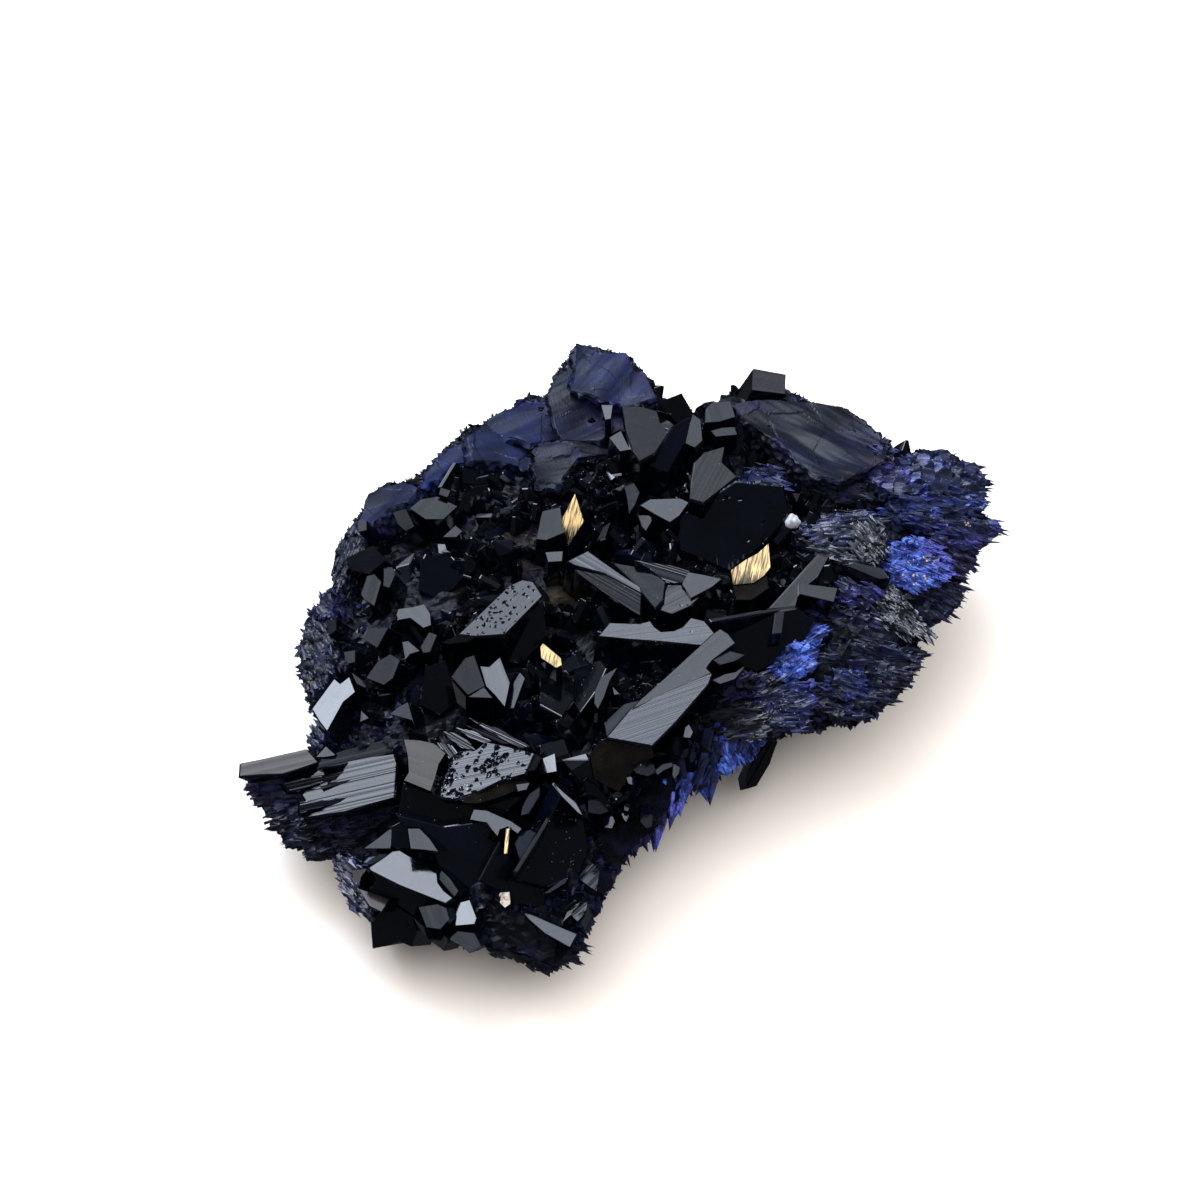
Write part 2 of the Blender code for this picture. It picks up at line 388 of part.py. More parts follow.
# Slender blades that hang from the front edge: the squares of root and tip, the height of the tip and
# the width in mm.
Prong = namedtuple("Prong", "root tip height width")
PRONGS = [
    Prong((748, 738), (742, 768), 5.6, 0.7), Prong((735, 745), (732, 764), 5.6, 0.7),
    Prong((727, 744), (727, 773), 5.4, 0.8), Prong((718, 752), (716, 770), 5.4, 0.6),
    Prong((752, 736), (756, 760), 5.6, 0.6), Prong((706, 762), (708, 807), 4.8, 1.0),
    Prong((698, 764), (694, 798), 5.0, 1.1), Prong((690, 768), (686, 796), 5.0, 0.9),
    Prong((684, 778), (678, 818), 4.6, 0.7), Prong((676, 784), (668, 831), 4.4, 1.0),
    Prong((668, 786), (660, 812), 4.6, 1.1), Prong((660, 794), (652, 853), 4.0, 0.6),
    Prong((652, 806), (656, 833), 4.2, 0.7), Prong((646, 812), (646, 846), 4.0, 0.7),
    Prong((640, 822), (636, 846), 4.0, 0.8), Prong((630, 832), (634, 859), 3.7, 0.7),
    Prong((622, 838), (622, 862), 3.7, 0.7), Prong((614, 848), (618, 870), 3.7, 0.6),
    Prong((608, 858), (610, 884), 3.8, 0.7), Prong((602, 880), (608, 896), 3.6, 0.6),
    Prong((592, 900), (597, 914), 3.6, 0.5), Prong((586, 916), (590, 936), 3.6, 0.6),
]
# How a blade is cut, as shares of its length and, for the last one, of its width.
SHOULDERS_AT, ROOT_DEPTH, EDGE_SLANT = 0.62, 0.35, 0.9
EDGE_HALF_WIDTH = 0.26

PRONG_DROP = 1.3 * MM             # a prong's root is this much higher than its tip
PRONG_FLATNESS = 0.5              # its thickness as a share of its width

CHAMFER = 0.12 * MM               # flat bevel between a large crystal's upper face and its sides
LARGE_FACE = 2.6 * MM             # an upper face that reaches further than this has the bevel
FLARE = 0.16                      # a crystal is this much wider at its foot
LOBE_FLARE = -0.12                # a lobe is narrower there
LEAN = 1.1                        # how far a foot near the edge lies back, as a share of its depth
LEANING_FROM = 0.5                # crystals nearer to the middle than this stand straight
FULL_LEAN_AT = 0.85
SIDEWAYS_LEAN = 0.7               # feet lie back less to the sides than to the front


# ---- from the drawing to space ------------------------------------------------------------------
def sight_line_at(square, height):
    """The point at this height on the sight line through a square of the drawing grid."""
    across = (square[0] - GRID_ORIGIN[0]) * GRID_SQUARE
    up = (GRID_ORIGIN[1] - square[1]) * GRID_SQUARE
    back = (up - height * math.cos(VIEW_ELEVATION)) / math.sin(VIEW_ELEVATION)
    return Vector((across, back, height))


def direction_of(tilt, toward):
    """The unit vector that leans from straight up by tilt degrees towards a bearing."""
    lean, bearing = math.radians(tilt), math.radians(toward)
    return Vector((math.sin(lean) * math.cos(bearing), math.sin(lean) * math.sin(bearing), math.cos(lean)))


def face_normal(turn, toward):
    """The normal of a face that turns away from the shared plane towards a bearing."""
    shared = Vector((0, 0, 1)).rotation_difference(direction_of(SHARED_TILT, SHARED_TOWARD))
    return shared @ direction_of(turn, toward)


def face_corners(crystal):
    """Where the sight lines of a crystal's outline meet the plane of its upper face."""
    count = len(crystal.outline)
    middle = [sum(square[axis] for square in crystal.outline) / count for axis in (0, 1)]
    anchor = sight_line_at(middle, crystal.height * MM)
    normal = face_normal(crystal.turn, crystal.toward)
    along = Vector((0, -math.cos(VIEW_ELEVATION), math.sin(VIEW_ELEVATION)))
    corners = []
    for square in crystal.outline:
        start = sight_line_at(square, 0)
        corners.append(start + along * (anchor - start).dot(normal) / along.dot(normal))
    return corners, normal


# ---- the plate's edge -----------------------------------------------------------------------------
def rim_points():
    """The plate's outline at its own height, found by following each sight line to the rim."""
    points = []
    for square in RIM_OUTLINE:
        x = sight_line_at(square, 0).x
        points.append(sight_line_at(square, RIM_HEIGHT + RIM_SLOPE * x))
    return points


RIM = rim_points()
RIM_MIDDLE = sum(RIM, Vector()) / len(RIM)
RIM_ROUND = sorted((math.atan2(p.y - RIM_MIDDLE.y, p.x - RIM_MIDDLE.x), (p - RIM_MIDDLE).xy.length)
                   for p in RIM)


def edge_share(x, y):
    """How near a place is to the plate's edge: 0 at the middle, 1 on the outline."""
    bearings, reaches = zip(*RIM_ROUND)
    bearing = math.atan2(y - RIM_MIDDLE.y, x - RIM_MIDDLE.x)
    reach = np.interp(bearing, bearings, reaches, period=math.tau)
    return math.hypot(x - RIM_MIDDLE.x, y - RIM_MIDDLE.y) / reach


# ---- meshes ---------------------------------------------------------------------------------------
def new_object(name, bm, collection):
    mesh = bpy.data.meshes.new(name)
    bm.to_mesh(mesh)
    bm.free()
    obj = bpy.data.objects.new(name, mesh)
    collection.objects.link(obj)
    return obj


def add_hull(bm, points):
    """One closed convex body around the points, none of them under the lowest crystal."""
    corners = [bm.verts.new((point.x, point.y, max(point.z, LOWEST_CRYSTAL))) for point in points]
    made = bmesh.ops.convex_hull(bm, input=corners, use_existing_faces=False)
    inside = {v for v in made["geom_interior"] if isinstance(v, bmesh.types.BMVert)}
    bmesh.ops.delete(bm, geom=list(inside), context="VERTS")


def loft(bm, rings):
    """A closed body through rings of equal count, the first on top and the last below."""
    rows = []
    for ring in rings:
        rows.append([bm.verts.new((p.x, p.y, max(p.z, LOWEST_CRYSTAL))) for p in ring])
    for upper, lower in zip(rows, rows[1:]):
        for i in range(len(upper)):
            j = (i + 1) % len(upper)
            bm.faces.new((upper[i], upper[j], lower[j], lower[i]))
    bm.faces.new(rows[0])
    bm.faces.new(rows[-1])
    bmesh.ops.triangulate(bm, faces=bm.faces)
    bmesh.ops.recalc_face_normals(bm, faces=bm.faces)


def root_shift(middle, depth):
    """How far back towards the plate's middle the foot of a crystal lies."""
    share = (edge_share(middle.x, middle.y) - LEANING_FROM) / (FULL_LEAN_AT - LEANING_FROM)
    back = Vector((RIM_MIDDLE.x - middle.x, RIM_MIDDLE.y - middle.y, 0)).normalized()
    return Vector((back.x * SIDEWAYS_LEAN, max(back.y, 0), 0)) * min(1, max(0, share)) * LEAN * depth


def crystal_body(crystal, flare):
    """An upper face, bevelled if it is large, on walls that go down to a buried foot."""
    face, normal = face_corners(crystal)
    middle = sum(face, Vector()) / len(face)
    depth = crystal.depth * MM
    rings = [face]
    if max((point - middle).length for point in face) > LARGE_FACE:
        rings.append([p + (p - middle).normalized() * CHAMFER - normal * CHAMFER for p in face])
    foot = []
    for point in rings[-1]:
        out = point - middle
        out.z = 0
        foot.append(point + out * flare + root_shift(middle, depth) - Vector((0, 0, depth)))
    rings.append(foot)
    bm = bmesh.new()
    loft(bm, rings)
    return bm


def add_blade(bm, root, direction, length, width, thickness, turn):
    """A flat crystal that widens from a buried point to its shoulders and ends in a slanted edge.
    Its flat sides face up where turn is 0."""
    across = direction.cross(Vector((0, 0, 1))).normalized()
    across.rotate(Quaternion(direction, turn))
    through = direction.cross(across).normalized()
    shoulders = root + direction * length * SHOULDERS_AT
    points = [root - direction * length * ROOT_DEPTH]
    for side, face in ((-1, -1), (1, -1), (1, 1), (-1, 1)):
        points.append(shoulders + across * side * width / 2 + through * face * thickness / 2)
    points.append(root + direction * length + across * width * EDGE_HALF_WIDTH)
    points.append(root + direction * length * EDGE_SLANT - across * width * EDGE_HALF_WIDTH)
    add_hull(bm, points)


# ---- the plate ------------------------------------------------------------------------------------
def ground_height(x, y):
    """The plate's top between the crystals, with rolling lumps."""
    lumps = noise.noise(Vector((x, y, 0)) / LUMP_SPACING)
    return GROUND_HEIGHT + GROUND_SLOPE * x + lumps * GROUND_ROUGHNESS


def pulled_in(point, share):
    """A point of the outline moved in towards the plate's middle."""
    return (RIM_MIDDLE.x + (point.x - RIM_MIDDLE.x) * share,
            RIM_MIDDLE.y + (point.y - RIM_MIDDLE.y) * share)


def uneven(index, share):
    """A number between about -1 and 1 that jumps from one corner of the plate to the next."""
    return 2 * noise.noise(Vector((index * 1.37 + 0.4, share * 9.1, 3.3)))


def plate_rings():
    """Rings of points from the middle of the top, over the rim, to the edge of the resting face."""
    # share of the outline, and how far the ring has climbed from the rim (0) to the ground (1)
    top = [(0.3, 1.0), (0.58, 1.0), (0.8, 0.85), (0.95, 0.45), (1.0, 0.0)]
    # share of the outline, and height as a share of the rim's
    under = [(0.95, 0.72), (0.72, 0.3), (RESTING_SHARE, 0.0)]
    rings = []
    for share, climb in top:
        ring = []
        for index, point in enumerate(RIM):
            x, y = pulled_in(point, share)
            rough = uneven(index, share) * GROUND_ROUGHNESS * share * (climb > 0)
            ring.append(Vector((x, y, point.z + (ground_height(x, y) - point.z) * climb + rough)))
        rings.append(ring)
    for share, lift in under:
        ring = []
        for index, point in enumerate(RIM):
            x, y = pulled_in(point, share)
            rough = abs(uneven(index, -share)) * UNDERSIDE_ROUGHNESS * (lift > 0)
            ring.append(Vector((x, y, point.z * lift + rough)))
        rings.append(ring)
    return rings


def make_plate(collection):
    bm = bmesh.new()
    rows = [[bm.verts.new(point) for point in ring] for ring in plate_rings()]
    for inner, outer in zip(rows, rows[1:]):
        for i in range(len(inner)):
            j = (i + 1) % len(inner)
            bm.faces.new((inner[i], inner[j], outer[j], outer[i]))
    crown = bm.verts.new((RIM_MIDDLE.x, RIM_MIDDLE.y, ground_height(RIM_MIDDLE.x, RIM_MIDDLE.y)))
    for i, vert in enumerate(rows[0]):
        bm.faces.new((crown, rows[0][(i + 1) % len(rows[0])], vert))
    bm.faces.new(rows[-1])
    bmesh.ops.recalc_face_normals(bm, faces=bm.faces)
    return new_object("azurite_cluster", bm, collection)


# ---- what grows on it -------------------------------------------------------------------------------
def add_small_crystals(bm, rng):
    """Short blocky crystals between the large ones, standing up from the plate."""
    for _ in range(SMALL_CRYSTALS):
        share = SMALL_REACH * math.sqrt(rng.random())
        x, y = pulled_in(rng.choice(RIM), share)
        buried = SMALL_BURIED if share < EDGE_FROM else EDGE_BURIED
        root = Vector((x, y, ground_height(x, y) - buried))
        bearing, rise = rng.uniform(0, math.tau), rng.uniform(*SMALL_RISE)
        direction = Vector((math.cos(bearing) * math.cos(rise), math.sin(bearing) * math.cos(rise),
                            math.sin(rise)))
        length = rng.uniform(*SMALL_LENGTH)
        add_blade(bm, root, direction, length, length * SMALL_WIDTH, length * SMALL_THICKNESS,
                  rng.uniform(0, math.pi))


def add_rim_teeth(bm, rng):
    """Pointed blades that stand out all along the plate's edge."""
    for index in range(RIM_TEETH):
        at = index / RIM_TEETH * len(RIM)
        before, after = RIM[int(at)], RIM[(int(at) + 1) % len(RIM)]
        point = before.lerp(after, at - int(at))
        out = point - RIM_MIDDLE
        out.z = rng.uniform(*TOOTH_SLOPE) * out.length
        direction = out.normalized()
        length = rng.uniform(*TOOTH_LENGTH)
        root = point - direction * length * TOOTH_BURIED
        root.z += rng.uniform(-TOOTH_SCATTER, TOOTH_SCATTER)
        add_blade(bm, root, direction, length, length * TOOTH_WIDTH, length * TOOTH_THICKNESS,
                  rng.uniform(0, math.pi))


def add_prongs(bm, rng):
    """Slender blades that hang from the front edge."""
    for prong in PRONGS:
        tip = sight_line_at(prong.tip, prong.height * MM)
        root = sight_line_at(prong.root, prong.height * MM + PRONG_DROP)
        along = tip - root
        width = prong.width * MM
        add_blade(bm, root, along.normalized(), along.length, width, width * PRONG_FLATNESS,
                  rng.uniform(0, math.pi))


def connected_shells(bm):
    """The closed surfaces that the mesh is made of, each as a list of faces."""
    shells, seen = [], set()
    for first in bm.faces:
        if first in seen:
            continue
        shell, waiting = [], [first]
        seen.add(first)
        while waiting:
            face = waiting.pop()
            shell.append(face)
            for edge in face.edges:
                if len(edge.link_faces) != 2:
                    continue  # two shells only touch here
                for neighbour in edge.link_faces:
                    if neighbour not in seen:
                        seen.add(neighbour)
                        waiting.append(neighbour)
        shells.append(shell)
    return shells


def keep_outer_skin(obj):
    """Applies the union and closes the small pockets left where crystals lean on each other."""
    evaluated = obj.evaluated_get(bpy.context.evaluated_depsgraph_get())
    bm = bmesh.new()
    bm.from_mesh(evaluated.to_mesh())
    evaluated.to_mesh_clear()
    shells = sorted(connected_shells(bm), key=len)
    pockets = [face for shell in shells[:-1] for face in shell]
    bmesh.ops.delete(bm, geom=pockets, context="FACES")
    bmesh.ops.dissolve_limit(bm, angle_limit=FLAT_ANGLE, verts=bm.verts, edges=bm.edges)
    bmesh.ops.triangulate(bm, faces=bm.faces)
    obj.modifiers.clear()
    bm.to_mesh(obj.data)
    bm.free()
    print(f"{obj.name}: one skin of {len(obj.data.polygons)} triangles, {len(shells) - 1} pockets closed")


def collapse_slivers(obj):
    """Few enough triangles, with the flat faces left flat."""
    collapse = obj.modifiers.new("fewer_triangles", "DECIMATE")
    collapse.ratio = min(1.0, MOST_TRIANGLES / len(obj.data.polygons))


def azurite_material():
    material = bpy.data.materials.new("azurite_crystal")
    material.use_nodes = True
    shader = material.node_tree.nodes["Principled BSDF"]
    shader.inputs["Base Color"].default_value = (0.004, 0.006, 0.028, 1)
    shader.inputs["Roughness"].default_value = 0.16
    shader.inputs["Metallic"].default_value = 0
    return material


def remove_everything():
    for obj in list(bpy.data.objects):
        bpy.data.objects.remove(obj, do_unlink=True)


def new_collection(name):
    collection = bpy.data.collections.new(name)
    bpy.context.scene.collection.children.link(collection)
    return collection


def build():
    remove_everything()
    specimen = new_collection("azurite_specimen")
    growths = new_collection("growths")
    plate = make_plate(specimen)
    plate.data.materials.append(azurite_material())

    bodies = []
    for crystal in LARGE_CRYSTALS:
        bodies.append((crystal.name, crystal_body(crystal, FLARE)))
    for lobe in LOBES:
        bodies.append((lobe.name, crystal_body(lobe, LOBE_FLARE)))
    rng = random.Random(SEED)
    growing = {"small_crystals": add_small_crystals, "rim_teeth": add_rim_teeth, "prongs": add_prongs}
    for name, grow in growing.items():
        bm = bmesh.new()
        grow(bm, rng)
        bodies.append((name, bm))
    for name, bm in bodies:
        growth = new_object(name, bm, growths)
        growth.hide_render = True
        growth.display_type = "WIRE"

    union = plate.modifiers.new("grown_together", "BOOLEAN")
    union.operation = "UNION"
    union.operand_type = "COLLECTION"
    union.collection = growths
    union.solver = "EXACT"
    union.use_self = True
    keep_outer_skin(plate)
    collapse_slivers(plate)


build()
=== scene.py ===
# %% [markdown]
# # An azurite specimen, crystal by crystal
# The real thing is one plate of grown-together azurite: a rough crust, large glassy crystals on it,
# hundreds of small ones between them, rough blue lobes round the edge and a fringe of tiny crystals.
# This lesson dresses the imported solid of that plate. It could be sculpted by hand, but growing each kind
# of crystal from a few facts keeps it easy to change. All is made in metres, in the solid's own frame.

# %% load the frame
import json
import math
import random
from collections import namedtuple

import bmesh
import bpy
import numpy as np
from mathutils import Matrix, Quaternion, Vector, noise
from mathutils.bvhtree import BVHTree

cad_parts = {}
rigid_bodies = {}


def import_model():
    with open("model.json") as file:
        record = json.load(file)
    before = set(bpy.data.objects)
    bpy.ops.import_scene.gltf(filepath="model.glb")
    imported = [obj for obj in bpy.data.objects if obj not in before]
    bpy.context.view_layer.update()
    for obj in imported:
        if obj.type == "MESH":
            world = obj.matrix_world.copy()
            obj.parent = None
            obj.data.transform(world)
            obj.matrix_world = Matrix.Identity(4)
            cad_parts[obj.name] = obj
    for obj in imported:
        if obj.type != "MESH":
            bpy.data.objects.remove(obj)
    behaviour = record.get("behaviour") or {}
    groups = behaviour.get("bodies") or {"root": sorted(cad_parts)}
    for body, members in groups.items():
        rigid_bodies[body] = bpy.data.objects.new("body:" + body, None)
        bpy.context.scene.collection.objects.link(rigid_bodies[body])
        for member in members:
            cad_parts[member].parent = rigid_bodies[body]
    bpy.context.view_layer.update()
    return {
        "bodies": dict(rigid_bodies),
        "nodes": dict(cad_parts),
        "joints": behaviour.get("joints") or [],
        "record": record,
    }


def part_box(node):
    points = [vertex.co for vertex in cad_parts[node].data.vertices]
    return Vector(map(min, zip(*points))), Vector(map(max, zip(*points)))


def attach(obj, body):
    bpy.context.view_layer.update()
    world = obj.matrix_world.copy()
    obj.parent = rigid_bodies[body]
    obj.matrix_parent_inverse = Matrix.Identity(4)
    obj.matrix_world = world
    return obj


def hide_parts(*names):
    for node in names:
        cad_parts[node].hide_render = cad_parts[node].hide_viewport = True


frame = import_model()
NODE = "azurite_cluster"
MM = 0.001
low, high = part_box(NODE)
print("solid, mm:", [round(side / MM, 1) for side in high - low])

# %% [markdown]
# ## How the crystals are laid out
# Crystal faces are drawn the way mineralogists draw them, in an inclined view. A corner is a square of
# the drawing grid, and it lies where the sight line through that square meets the plane of its face.
# Placing corners by hand in space would be slower, and the faces would not come out flat.

# %% the drawing grid
GRID_SQUARE = 0.065 * MM            # side of one square
GRID_ORIGIN = (610, 690)            # the square that the centre of the resting face falls on
VIEW_ELEVATION = math.radians(50)   # the drawing looks down by this much, along +Y
TO_VIEWER = Vector((0, -math.cos(VIEW_ELEVATION), math.sin(VIEW_ELEVATION)))
VIEW_UP = Vector((0, math.sin(VIEW_ELEVATION), math.cos(VIEW_ELEVATION)))


def sight_line_at(square, height):
    """The point at this height on the sight line through a square of the drawing grid."""
    across = (square[0] - GRID_ORIGIN[0]) * GRID_SQUARE
    up = (GRID_ORIGIN[1] - square[1]) * GRID_SQUARE
    back = (up - height * VIEW_UP.z) / VIEW_UP.y
    return Vector((across, back, height))


# %% [markdown]
# ## The faces that shine together
# Crystals that grew together often share the lie of their upper faces, which is why a whole group
# flashes at once as the specimen is turned. So each face is given by how far it turns away from one
# shared plane, and towards which bearing: 0 is +X, 90 is +Y.

# %% the shared plane
SHARED_TILT, SHARED_TOWARD = 11.4, 188


def direction_of(tilt, toward):
    """The unit vector that leans from straight up by tilt degrees towards a bearing."""
    lean, bearing = math.radians(tilt), math.radians(toward)
    return Vector((math.sin(lean) * math.cos(bearing), math.sin(lean) * math.sin(bearing), math.cos(lean)))


SHARED_NORMAL = direction_of(SHARED_TILT, SHARED_TOWARD)
SHARED_TURN = Vector((0, 0, 1)).rotation_difference(SHARED_NORMAL)


def face_normal(turn, toward):
    return SHARED_TURN @ direction_of(turn, toward)


print("shared plane leans", SHARED_TILT, "degrees towards bearing", SHARED_TOWARD)

# %% [markdown]
# ## The large crystals, face by face
# Each entry names a crystal and gives the height of the middle of its upper face in mm, how far that
# face turns from the shared plane and towards which bearing, its depth in mm, and its outline. They
# could be scattered by chance, but the large crystals are what makes this specimen itself.

# %% the large crystals
Crystal = namedtuple("Crystal", "name height turn toward depth outline")

LEFT_PRISM = [
    ("ridged_base", 7.6, 12, 212, 4.4,
     [(287, 779), (310, 770), (340, 763), (370, 757), (393, 754), (396, 764), (394, 797), (372, 803),
             (345, 811), (306, 817), (301, 815), (306, 800), (300, 790)]),
    ("slot_upper", 7.42, 22, 268, 0.3,
     [(284, 783), (300, 779), (322, 776), (345, 771), (366, 768), (366, 770), (345, 776), (322, 782),
             (308, 787), (300, 791), (290, 791)]),
    ("slot_middle", 7.64, 20, 262, 0.3,
     [(320, 786), (336, 782), (352, 779), (352, 781), (336, 785), (322, 789)]),
    ("slot_lower", 7.33, 22, 268, 0.3,
     [(300, 802), (308, 801), (330, 799), (352, 796), (366, 794), (366, 796), (345, 801), (325, 806),
             (308, 811), (300, 814)]),
    ("ridged_back", 7.5, 13.5, 60, 4.6,
     [(241, 763), (262, 759), (306, 749), (318, 762), (300, 768), (283, 773), (262, 774), (240, 776)]),
    ("ridged_back_strip", 7.9, 21, 40, 4.0,
     [(322, 757), (345, 750), (380, 741), (394, 752), (340, 765), (318, 768)]),
    ("back_chip", 8.2, 15, 30, 2.6, [(316, 757), (326, 746), (336, 755), (325, 757)]),
]
PITTED_LENS = [
    ("pitted_face", 10.4, 11, 200, 5.0,
     [(432, 792), (438, 778), (447, 773), (449, 760), (460, 751), (476, 750), (486, 742), (505, 746),
             (534, 753), (525, 773), (500, 780), (480, 790), (456, 798), (444, 797)]),
    ("pitted_shoulder", 10.3, 11.5, 300, 5.0,
     [(404, 739), (420, 740), (434, 743), (446, 753), (439, 764), (436, 776), (431, 791), (404, 780),
             (409, 772), (408, 756)]),
    ("pitted_bevel", 10.3, 24, 285, 4.0,
     [(458, 799), (480, 791), (501, 781), (524, 774), (529, 784), (505, 795), (480, 803), (466, 803)]),
    ("pitted_front", 8.4, 46, 280, 3.4,
     [(405, 783), (432, 794), (466, 804), (505, 797), (524, 796), (498, 818), (445, 826), (400, 812)]),
    ("black_wall", 7.9, 44, 285, 3.4,
     [(398, 815), (445, 827), (497, 819), (488, 838), (498, 844), (500, 862), (470, 892), (440, 866),
             (424, 828), (406, 826)]),
    ("black_wall_right", 7.6, 42, 300, 3.0,
     [(500, 842), (514, 860), (518, 879), (545, 890), (545, 908), (512, 901), (500, 889), (480, 880)]),
    ("ledge_low", 10.0, 20.5, 40, 2.0,
     [(436, 742), (450, 744), (460, 751), (449, 759), (444, 752)]),
    ("ledge_one", 10.1, 20, 40, 2.0,
     [(443, 731), (458, 733), (470, 742), (476, 750), (462, 748), (450, 739)]),
    ("ledge_two", 10.1, 21, 50, 2.0,
     [(455, 727), (475, 731), (492, 741), (484, 743), (470, 738)]),
    ("ledge_three", 10.0, 30, 60, 2.0,
     [(462, 722), (492, 732), (512, 744), (500, 743), (478, 734)]),
    ("ledge_four", 9.9, 24, 60, 2.0,
     [(468, 717), (500, 729), (530, 746), (520, 747), (495, 734)]),
]
CENTRE_BARS = [
    ("cross_bar", 11.2, 12.5, 10, 5.0,
     [(599, 636), (604, 630), (610, 623), (640, 624), (650, 621), (654, 627), (661, 632), (674, 631),
             (683, 627), (691, 618), (704, 621), (714, 633), (701, 645), (660, 641), (630, 639)]),
    ("long_bar", 11.85, 14.5, 350, 5.5,
     [(701, 645), (713, 634), (720, 629), (728, 634), (735, 643), (712, 660), (706, 668), (711, 673),
             (672, 690), (632, 709), (640, 700), (665, 678)]),
    ("long_bar_foot", 11.7, 12.5, 345, 5.5,
     [(632, 708), (672, 689), (712, 673), (708, 684), (675, 722), (652, 745), (607, 737), (620, 722)]),
    ("long_bar_strip", 11.2, 18, 150, 4.5,
     [(604, 723), (624, 704), (640, 700), (607, 736)]),
    ("long_bar_end", 9.6, 44, 275, 3.6,
     [(601, 739), (652, 747), (654, 757), (635, 768), (619, 792), (594, 779), (590, 755)]),
    ("diagonal_bar", 11.0, 14, 30, 4.5,
     [(568, 561), (588, 551), (600, 560), (620, 574), (640, 587), (641, 593), (605, 573), (575, 565)]),
    ("diagonal_bar_side", 10.7, 17, 250, 4.2,
     [(570, 566), (605, 574), (641, 594), (640, 616), (600, 590), (580, 575)]),
    ("stepped_dark", 11.0, 16.5, 80, 4.6,
     [(613, 563), (632, 566), (650, 570), (665, 582), (663, 599), (655, 608), (645, 596), (635, 583)]),
    ("stepped_strata", 10.9, 21, 40, 4.0,
     [(634, 560), (670, 565), (690, 571), (683, 583), (667, 583), (650, 569)]),
    ("stepped_bright", 11.3, 15.5, 20, 4.8,
     [(682, 584), (688, 572), (705, 575), (722, 579), (712, 587), (691, 598)]),
    ("stepped_lower", 11.3, 15.5, 20, 4.8,
     [(663, 597), (668, 585), (681, 585), (691, 599), (700, 597), (690, 606), (672, 614), (654, 608)]),
    ("step_dim", 11.8, 18.5, 350, 3.4, [(713, 660), (730, 651), (745, 655), (735, 661), (720, 665)]),
    ("step_grey", 11.3, 17, 10, 3.4,
     [(712, 680), (725, 674), (735, 672), (746, 665), (735, 679), (720, 684)]),
    ("bar_shade", 9.6, 23, 150, 3.0,
     [(575, 668), (590, 664), (600, 660), (606, 668), (596, 690), (580, 712), (572, 700)]),
    ("hollow_facet", 9.0, 25, 60, 3.0, [(540, 676), (566, 670), (580, 690), (562, 716), (540, 704)]),
]
CENTRE_LEFT = [
    ("lozenge", 10.8, 14, 0, 5.0,
     [(459, 634), (480, 614), (509, 586), (522, 580), (533, 582), (542, 596), (505, 634), (475, 636)]),
    ("lozenge_tail", 10.8, 30, 205, 4.0,
     [(440, 643), (459, 634), (476, 637), (466, 642), (450, 644)]),
    ("lozenge_front", 9.0, 48, 290, 3.0,
     [(476, 638), (505, 637), (542, 600), (546, 636), (522, 664), (490, 660)]),
    ("twin_grey", 10.0, 20, 205, 3.8,
     [(465, 658), (474, 655), (485, 686), (468, 695), (451, 677)]),
    ("twin_olive", 9.8, 18.5, 300, 3.2, [(451, 679), (466, 697), (466, 710), (457, 703)]),
    ("twin_bright", 10.3, 12, 0, 4.0,
     [(480, 666), (489, 667), (500, 657), (510, 683), (505, 707), (495, 695), (486, 686)]),
    ("twin_chip", 10.4, 17, 30, 3.2, [(468, 697), (484, 687), (493, 698)]),
    ("twin_right", 10.1, 15, 172, 3.8,
     [(507, 709), (514, 682), (520, 672), (525, 678), (514, 708)]),
    ("gold_chip", 9.8, 8, 188, 3.0,
     [(540, 647), (543, 643), (561, 658), (562, 665), (556, 668), (541, 658)]),
    ("slim_facet", 10.8, 16, 60, 3.4,
     [(594, 703), (595, 690), (601, 677), (618, 667), (610, 680), (604, 697), (598, 709)]),
    ("slim_chip", 10.0, 16, 20, 2.6, [(612, 686), (620, 694), (614, 695)]),
]
